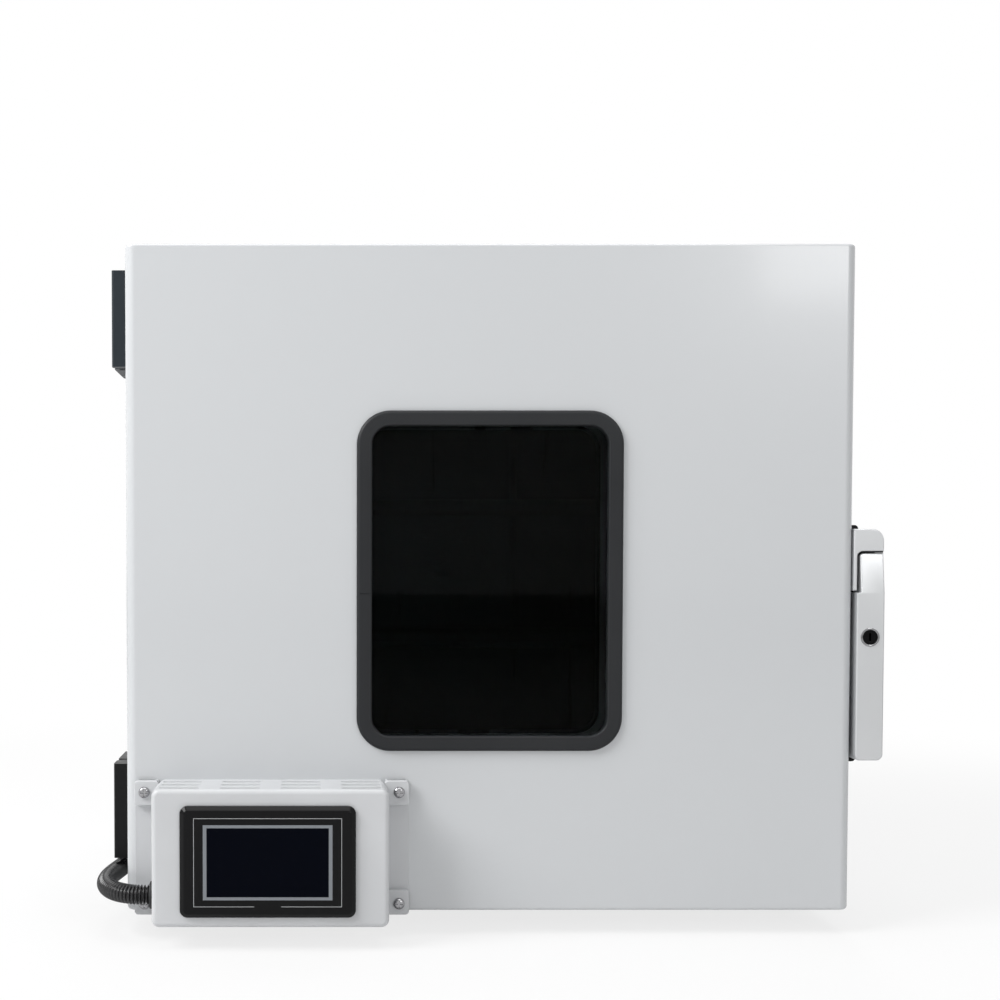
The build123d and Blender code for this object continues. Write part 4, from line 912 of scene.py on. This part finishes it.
# The operator panel has a glossy black bevelled bezel with a fine silver line printed round it, broken at
# the bottom, and a silver frame round a dark blue-black display.
bezel_low, bezel_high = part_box("touch_panel")
bezel_half = (0.06865, 0.0437)
bezel_corner = 0.006
bezel_slope = (0.0035, 0.003)
bezel_ease = 0.0008
line_half = (0.05775, 0.0347)
line_width = 0.00045
line_gap = 0.0105
frame_half = (0.05035, 0.02935)
display_half = (0.0475, 0.027)
display_depth = 0.0008
printed = 0.00006

bezel_x = (bezel_low.x + bezel_high.x) / 2
bezel_z = (bezel_low.z + bezel_high.z) / 2
bezel_face = bezel_low.y
bezel = rounded_block(
    "bezel",
    (bezel_x - bezel_half[0], bezel_face + bezel_slope[1], bezel_z - bezel_half[1]),
    (bezel_x + bezel_half[0], box_front, bezel_z + bezel_half[1]),
    1,
    bezel_corner,
    6,
)
edit(bezel)
choose("FACE", lambda face: face.normal.y < -0.9)
bpy.ops.mesh.inset(thickness=bezel_slope[0], depth=bezel_slope[1])
choose(
    "EDGE",
    lambda edge: all(near(vert.co.y, bezel_face) for vert in edge.verts)
    and any(face.normal.y > -0.99 for face in edge.link_faces),
)
bevel(bezel_ease, 3)
done()
recess = block(
    "recess",
    (bezel_x - display_half[0], bezel_face - overlap, bezel_z - display_half[1]),
    (bezel_x + display_half[0], bezel_face + display_depth, bezel_z + display_half[1]),
)
cut(bezel, recess)
soften(bezel, 30)
gloss_black, gloss_shader = finish("gloss_black", (0.0035, 0.0035, 0.004), 0.12)
gloss_shader.inputs["Specular IOR Level"].default_value = 0.14
spread(gloss_black, noise(gloss_black, 30, 3), 0.08, 0.18, "Roughness")
settle(bezel, "door", gloss_black, "black_gloss", "touch_panel")
screen_black, screen_shader = finish("screen_black", (0.0008, 0.0014, 0.0042), 0.1)
screen_shader.inputs["Specular IOR Level"].default_value = 0.03
spread(screen_black, noise(screen_black, 14, 2), 0.07, 0.14, "Roughness")
paint(screen_black, "screen_glass")


def strip(name, x0, z0, x1, z1):
    """A thin printed strip on the bezel's face."""
    return block(name, (x0, bezel_face - printed, z0), (x1, bezel_face + printed, z1))


def printed_frame(name, outer, width_x, width_z, gap=0.0):
    """Four strips round the display, the lowest broken in its middle by a gap."""
    x, z = bezel_x, bezel_z
    low, high = z - outer[1] + width_z, z + outer[1] - width_z
    made = [
        strip(name, x - outer[0], high, x + outer[0], z + outer[1]),
        strip(name, x - outer[0], low, x - outer[0] + width_x, high),
        strip(name, x + outer[0] - width_x, low, x + outer[0], high),
    ]
    ends = [(-outer[0], -gap), (gap, outer[0])] if gap else [(-outer[0], outer[0])]
    made += [strip(name, x + a, z - outer[1], x + b, low) for a, b in ends]
    join(*made)
    return made[0]


silver_line = printed_frame("silver_line", line_half, line_width, line_width, line_gap)
silver_frame = printed_frame(
    "silver_frame", frame_half, frame_half[0] - display_half[0], frame_half[1] - display_half[1]
)
line_ink = satin("silver_ink", (0.38, 0.39, 0.40), 0.35, 0.5, 200, metallic=0.2)
frame_ink = satin("frame_ink", (0.20, 0.215, 0.235), 0.3, 0.45, 200, metallic=0.2)
paint(line_ink, silver_line)
paint(frame_ink, silver_frame)
for piece in (silver_line, silver_frame):
    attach(piece, "door")


# The control box is held by four chromed steel screws with domed cross heads. Each sits on one of the
# raised tabs and goes through it into the door's skin.
head_radius = 0.00455
head_height = 0.0032
head_round = 0.0024
cross_width = 0.0013
cross_length = 0.0062
cross_floor = head_height * 0.2
tab_face = door_face - tab_height


def cross_head(x, z):
    """A domed screw head with a cross recess."""
    head = disc("cross_head", (x, tab_face - head_height / 2, z), "Y", head_radius, head_height, 40)
    edit(head)
    choose("EDGE", lambda edge: all(near(vert.co.y, tab_face - head_height) for vert in edge.verts))
    bevel(head_round, 6)
    done()
    for wide, tall in ((cross_length, cross_width), (cross_width, cross_length)):
        low = (x - wide / 2, tab_face - head_height - overlap, z - tall / 2)
        high = (x + wide / 2, tab_face - cross_floor, z + tall / 2)
        cut(head, block("cross", low, high))
    return head


heads = [cross_head(x, z) for x, z in screw_places]
join(*heads)
soften(heads[0], 40)
chrome = satin("chrome", (0.34, 0.34, 0.35), 0.08, 0.16, 60)
settle(heads[0], "door", chrome, "bright_steel", "panel_screws")


# The conduit's fittings are moulded in black nylon: a gland with its nut in the control box's left wall,
# and an elbow with a collar that is screwed into the casing's left side.
eased("panel_gland", "door", black_nylon, "black_plastic", 0.0004)
eased("conduit_elbow", "cabinet", black_nylon, "black_plastic", 0.0005)


# The latch: a black base screwed to the door's side, a fixed cast head on it with a leg down the door's
# edge, and a cast lever on a steel pin, both silver. The lever's front breaks at a knee and slopes back to
# top and bottom.
head_low, head_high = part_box("latch_head")
lever_low, lever_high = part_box("latch_lever")
silver_round = 0.0095
leg_sheet = 0.003
head_underside = 0.313
lever_shoulder = 0.3004
shoulder_round = 0.003
leg_round = 0.0045
lever_ledge = 0.2795
lever_knee = 0.261
lever_slope = 0.004
toe_rise, toe_depth = 0.009, 0.004
toe_corner = 0.005
cast_edge = 0.0014
lock_place = (0.3078, 0.2433)
lock_radius = 0.0077
lock_depth = 0.011
head_ease = 0.0009
lever_wall = 0.0022
lever_hollow = 0.008

silver = finish("silver_casting", (0.60, 0.61, 0.62), 0.34, 0.6)[0]
spread(silver, noise(silver, 14, 3), (0.59, 0.60, 0.61), (0.61, 0.62, 0.63), "Base Color")
spread(silver, noise(silver, 90, 2), 0.32, 0.36, "Roughness")
relief(silver, noise(silver, 500, 1), 0.000006, 0.3)


def corner_edge(edge, x, z):
    """Whether an edge runs front to back at a place."""
    return along(edge, 1) and near(middle_of(edge).x, x) and near(middle_of(edge).z, z)


def front_edge(edge, facing):
    """Whether an edge bounds the front, whose faces point forwards more than a limit."""
    slopes = [face.normal.y for face in edge.link_faces]
    return any(slope < facing for slope in slopes) and any(slope > -0.3 for slope in slopes)


fixed_head = block("fixed_head", (head_low.x, head_low.y, head_underside), head_high)
edit(fixed_head)
bpy.ops.mesh.select_all(action="SELECT")
leg_side = head_low.x + leg_sheet
bpy.ops.mesh.bisect(plane_co=(leg_side, 0, 0), plane_no=(1, 0, 0))
choose("FACE", lambda face: face.normal.z < -0.9 and face.calc_center_median().x < leg_side)
bpy.ops.mesh.extrude_region_move(TRANSFORM_OT_translate={"value": (0, 0, head_low.z - head_underside)})
choose("EDGE", lambda edge: corner_edge(edge, head_high.x, head_high.z))
bevel(silver_round, 8)
bpy.ops.mesh.select_all(action="SELECT")
bpy.ops.mesh.dissolve_limited(angle_limit=flat_angle)
choose("EDGE", lambda edge: corner_edge(edge, leg_side, head_underside))
bevel(leg_round, 6)
choose("EDGE", lambda edge: front_edge(edge, -0.9))
bevel(head_ease, 3)
done()
soften(fixed_head, 30)
settle(fixed_head, "door", silver, "silver_cast", "latch_head")

lever = block("lever_casting", (lever_shoulder, lever_low.y, lever_low.z), lever_high)
edit(lever)
bpy.ops.mesh.select_all(action="SELECT")
bpy.ops.mesh.bisect(plane_co=(0, 0, lever_ledge), plane_no=(0, 0, 1))
choose("FACE", lambda face: face.normal.x < -0.9 and face.calc_center_median().z < lever_ledge)
bpy.ops.mesh.extrude_region_move(TRANSFORM_OT_translate={"value": (lever_low.x - lever_shoulder, 0, 0)})
choose(
    "EDGE",
    lambda edge: along(edge, 1)
    and near(middle_of(edge).z, lever_low.z)
    and not near(middle_of(edge).x, lever_shoulder),
)
bevel(toe_corner, 6)
choose("EDGE", lambda edge: corner_edge(edge, lever_shoulder, lever_high.z))
bevel(shoulder_round, 6)
slopes = (
    (lever_knee, (0, lever_knee - lever_high.z, lever_slope)),
    (lever_low.z + toe_rise, (0, -toe_rise, -toe_depth)),
)
for start, way in slopes:
    bpy.ops.mesh.select_all(action="SELECT")
    bpy.ops.mesh.bisect(plane_co=(0, lever_low.y, start), plane_no=way, use_fill=True, clear_outer=True)
bpy.ops.mesh.select_all(action="SELECT")
bpy.ops.mesh.remove_doubles(threshold=merge_distance)
bpy.ops.mesh.dissolve_limited(angle_limit=flat_angle)
choose("EDGE", lambda edge: front_edge(edge, -0.85))
bevel(cast_edge, 4)
choose("FACE", lambda face: face.normal.y > 0.9)
bpy.ops.mesh.inset(thickness=lever_wall)
bpy.ops.mesh.extrude_region_move(TRANSFORM_OT_translate={"value": (0, -lever_hollow, 0)})
done()
lock_middle = (lock_place[0], lever_low.y, lock_place[1])
cut(lever, disc("lock_hole", lock_middle, "Y", lock_radius, 2 * lock_depth))
soften(lever, 30)
settle(lever, "latch", silver, "silver_cast", "latch_lever")

# A black plate behind head and lever and a black strip between them fill the parting, so that it shows as
# a dark line: painted shade.
matt_black = moulded("latch_base_black", (0.008, 0.008, 0.009), 0.5, 0.65)
shader_of(matt_black).inputs["Specular IOR Level"].default_value = 0.15
mount = eased("latch_base", "door", matt_black, "black_plastic", 0.0006)
parting_shade_plate = ((0.3045, -0.2502, 0.2985), (0.3190, -0.2478, 0.3210))
parting_shade_span = ((0.2984, -0.2676, 0.3117), (0.3190, -0.2506, 0.3131))
plate = block("parting_shade_plate", *parting_shade_plate)
strip_between = block("parting_shade_strip", *parting_shade_span)
# Both pieces are black as painted shade in the parting between head and lever.
paint(matt_black, plate, strip_between)
join(mount, plate, strip_between)
eased("latch_hook", "latch", plated, "bright_steel", 0.0003)
eased("latch_keeper", "cabinet", plated, "silver_cast", 0.0005)
paint(plated, "latch_screws")
paint(matt_black, "latch_pin")
dark_chrome = satin("dark_chrome", (0.40, 0.40, 0.41), 0.08, 0.14, 60)
eased("lock_rim", "latch", dark_chrome, "bright_steel", 0.0005)
eased("lock_cylinder", "key_plug", gloss_black, "black_gloss", 0.0003)


# The room is a pale matt floor that fades into a plain white surround, with four soft lamps. None of it is
# part of the oven.
near_distance, far_distance = 0.6, 1.5
near_white = 0.78
floor_size, floor_middle = 30, (0, 4, -0.0002)
world_light, world_seen = 0.24, 1.0
bpy.ops.object.select_all(action="DESELECT")
bpy.ops.mesh.primitive_plane_add(size=floor_size, location=floor_middle)
floor = bpy.context.object
floor.name = "floor"
bpy.ops.object.transform_apply(location=True, rotation=False, scale=False)
floor_white, floor_shader = finish("floor_white", (0.80, 0.80, 0.80), 0.9)
floor_shader.inputs["Specular IOR Level"].default_value = 0.1
tree = floor_white.node_tree
place = tree.nodes.new("ShaderNodeTexCoord")
distance = tree.nodes.new("ShaderNodeVectorMath")
distance.operation = "LENGTH"
tree.links.new(place.outputs["Object"], distance.inputs[0])
fade = tree.nodes.new("ShaderNodeMapRange")
fade.interpolation_type = "SMOOTHSTEP"
fade.inputs["From Min"].default_value = near_distance
fade.inputs["From Max"].default_value = far_distance
fade.inputs["To Min"].default_value = near_white
tree.links.new(distance.outputs["Value"], fade.inputs["Value"])
rays = tree.nodes.new("ShaderNodeLightPath")
seen = tree.nodes.new("ShaderNodeMath")
seen.operation = "MULTIPLY"
tree.links.new(fade.outputs["Result"], seen.inputs[0])
tree.links.new(rays.outputs["Is Camera Ray"], seen.inputs[1])
far_white = tree.nodes.new("ShaderNodeEmission")
far_white.inputs["Color"].default_value = (1, 1, 1, 1)
blended = tree.nodes.new("ShaderNodeMixShader")
tree.links.new(seen.outputs["Value"], blended.inputs[0])
tree.links.new(floor_shader.outputs["BSDF"], blended.inputs[1])
tree.links.new(far_white.outputs["Emission"], blended.inputs[2])
tree.links.new(blended.outputs["Shader"], tree.nodes["Material Output"].inputs["Surface"])
spread(floor_white, noise(floor_white, 1.5, 2), (0.79, 0.79, 0.79), (0.81, 0.81, 0.81), "Base Color")
floor.data.materials.append(floor_white)

world = bpy.data.worlds.new("surround")
bpy.context.scene.world = world
world.use_nodes = True
tree = world.node_tree
background = tree.nodes["Background"]
rays = tree.nodes.new("ShaderNodeLightPath")
shown = rays.outputs["Is Camera Ray"]
for kind in ("Is Glossy Ray", "Is Transmission Ray"):
    either = tree.nodes.new("ShaderNodeMath")
    either.operation = "MAXIMUM"
    tree.links.new(shown, either.inputs[0])
    tree.links.new(rays.outputs[kind], either.inputs[1])
    shown = either.outputs["Value"]
level = tree.nodes.new("ShaderNodeMix")
level.inputs["A"].default_value = world_light
level.inputs["B"].default_value = world_seen
tree.links.new(shown, level.inputs["Factor"])
tree.links.new(level.outputs["Result"], background.inputs["Strength"])
background.inputs["Color"].default_value = (1, 1, 1, 1)


def lamp(name, place, aim, size, power):
    """A soft square lamp that points at a spot."""
    bpy.ops.object.light_add(type="AREA", location=place)
    light = bpy.context.object
    light.name = name
    light.data.size = size
    light.data.energy = power
    light.rotation_euler = (Vector(aim) - Vector(place)).to_track_quat("-Z", "Y").to_euler()


lamp("front_lamp", (-2.1, -1.3, 2.0), (0, -0.2, 0.35), 1.4, 72)
lamp("top_lamp", (0.0, -0.5, 2.8), (0, 0, 0.3), 2.0, 30)
lamp("glint_lamp", (1.25, -2.6, 1.25), (0.2, -0.27, 0.5), 0.6, 9)
lamp("back_lamp", (0.4, 2.8, 1.9), (0, 0.2, 0.3), 1.6, 42)

bpy.context.scene.view_settings.view_transform = "Standard"
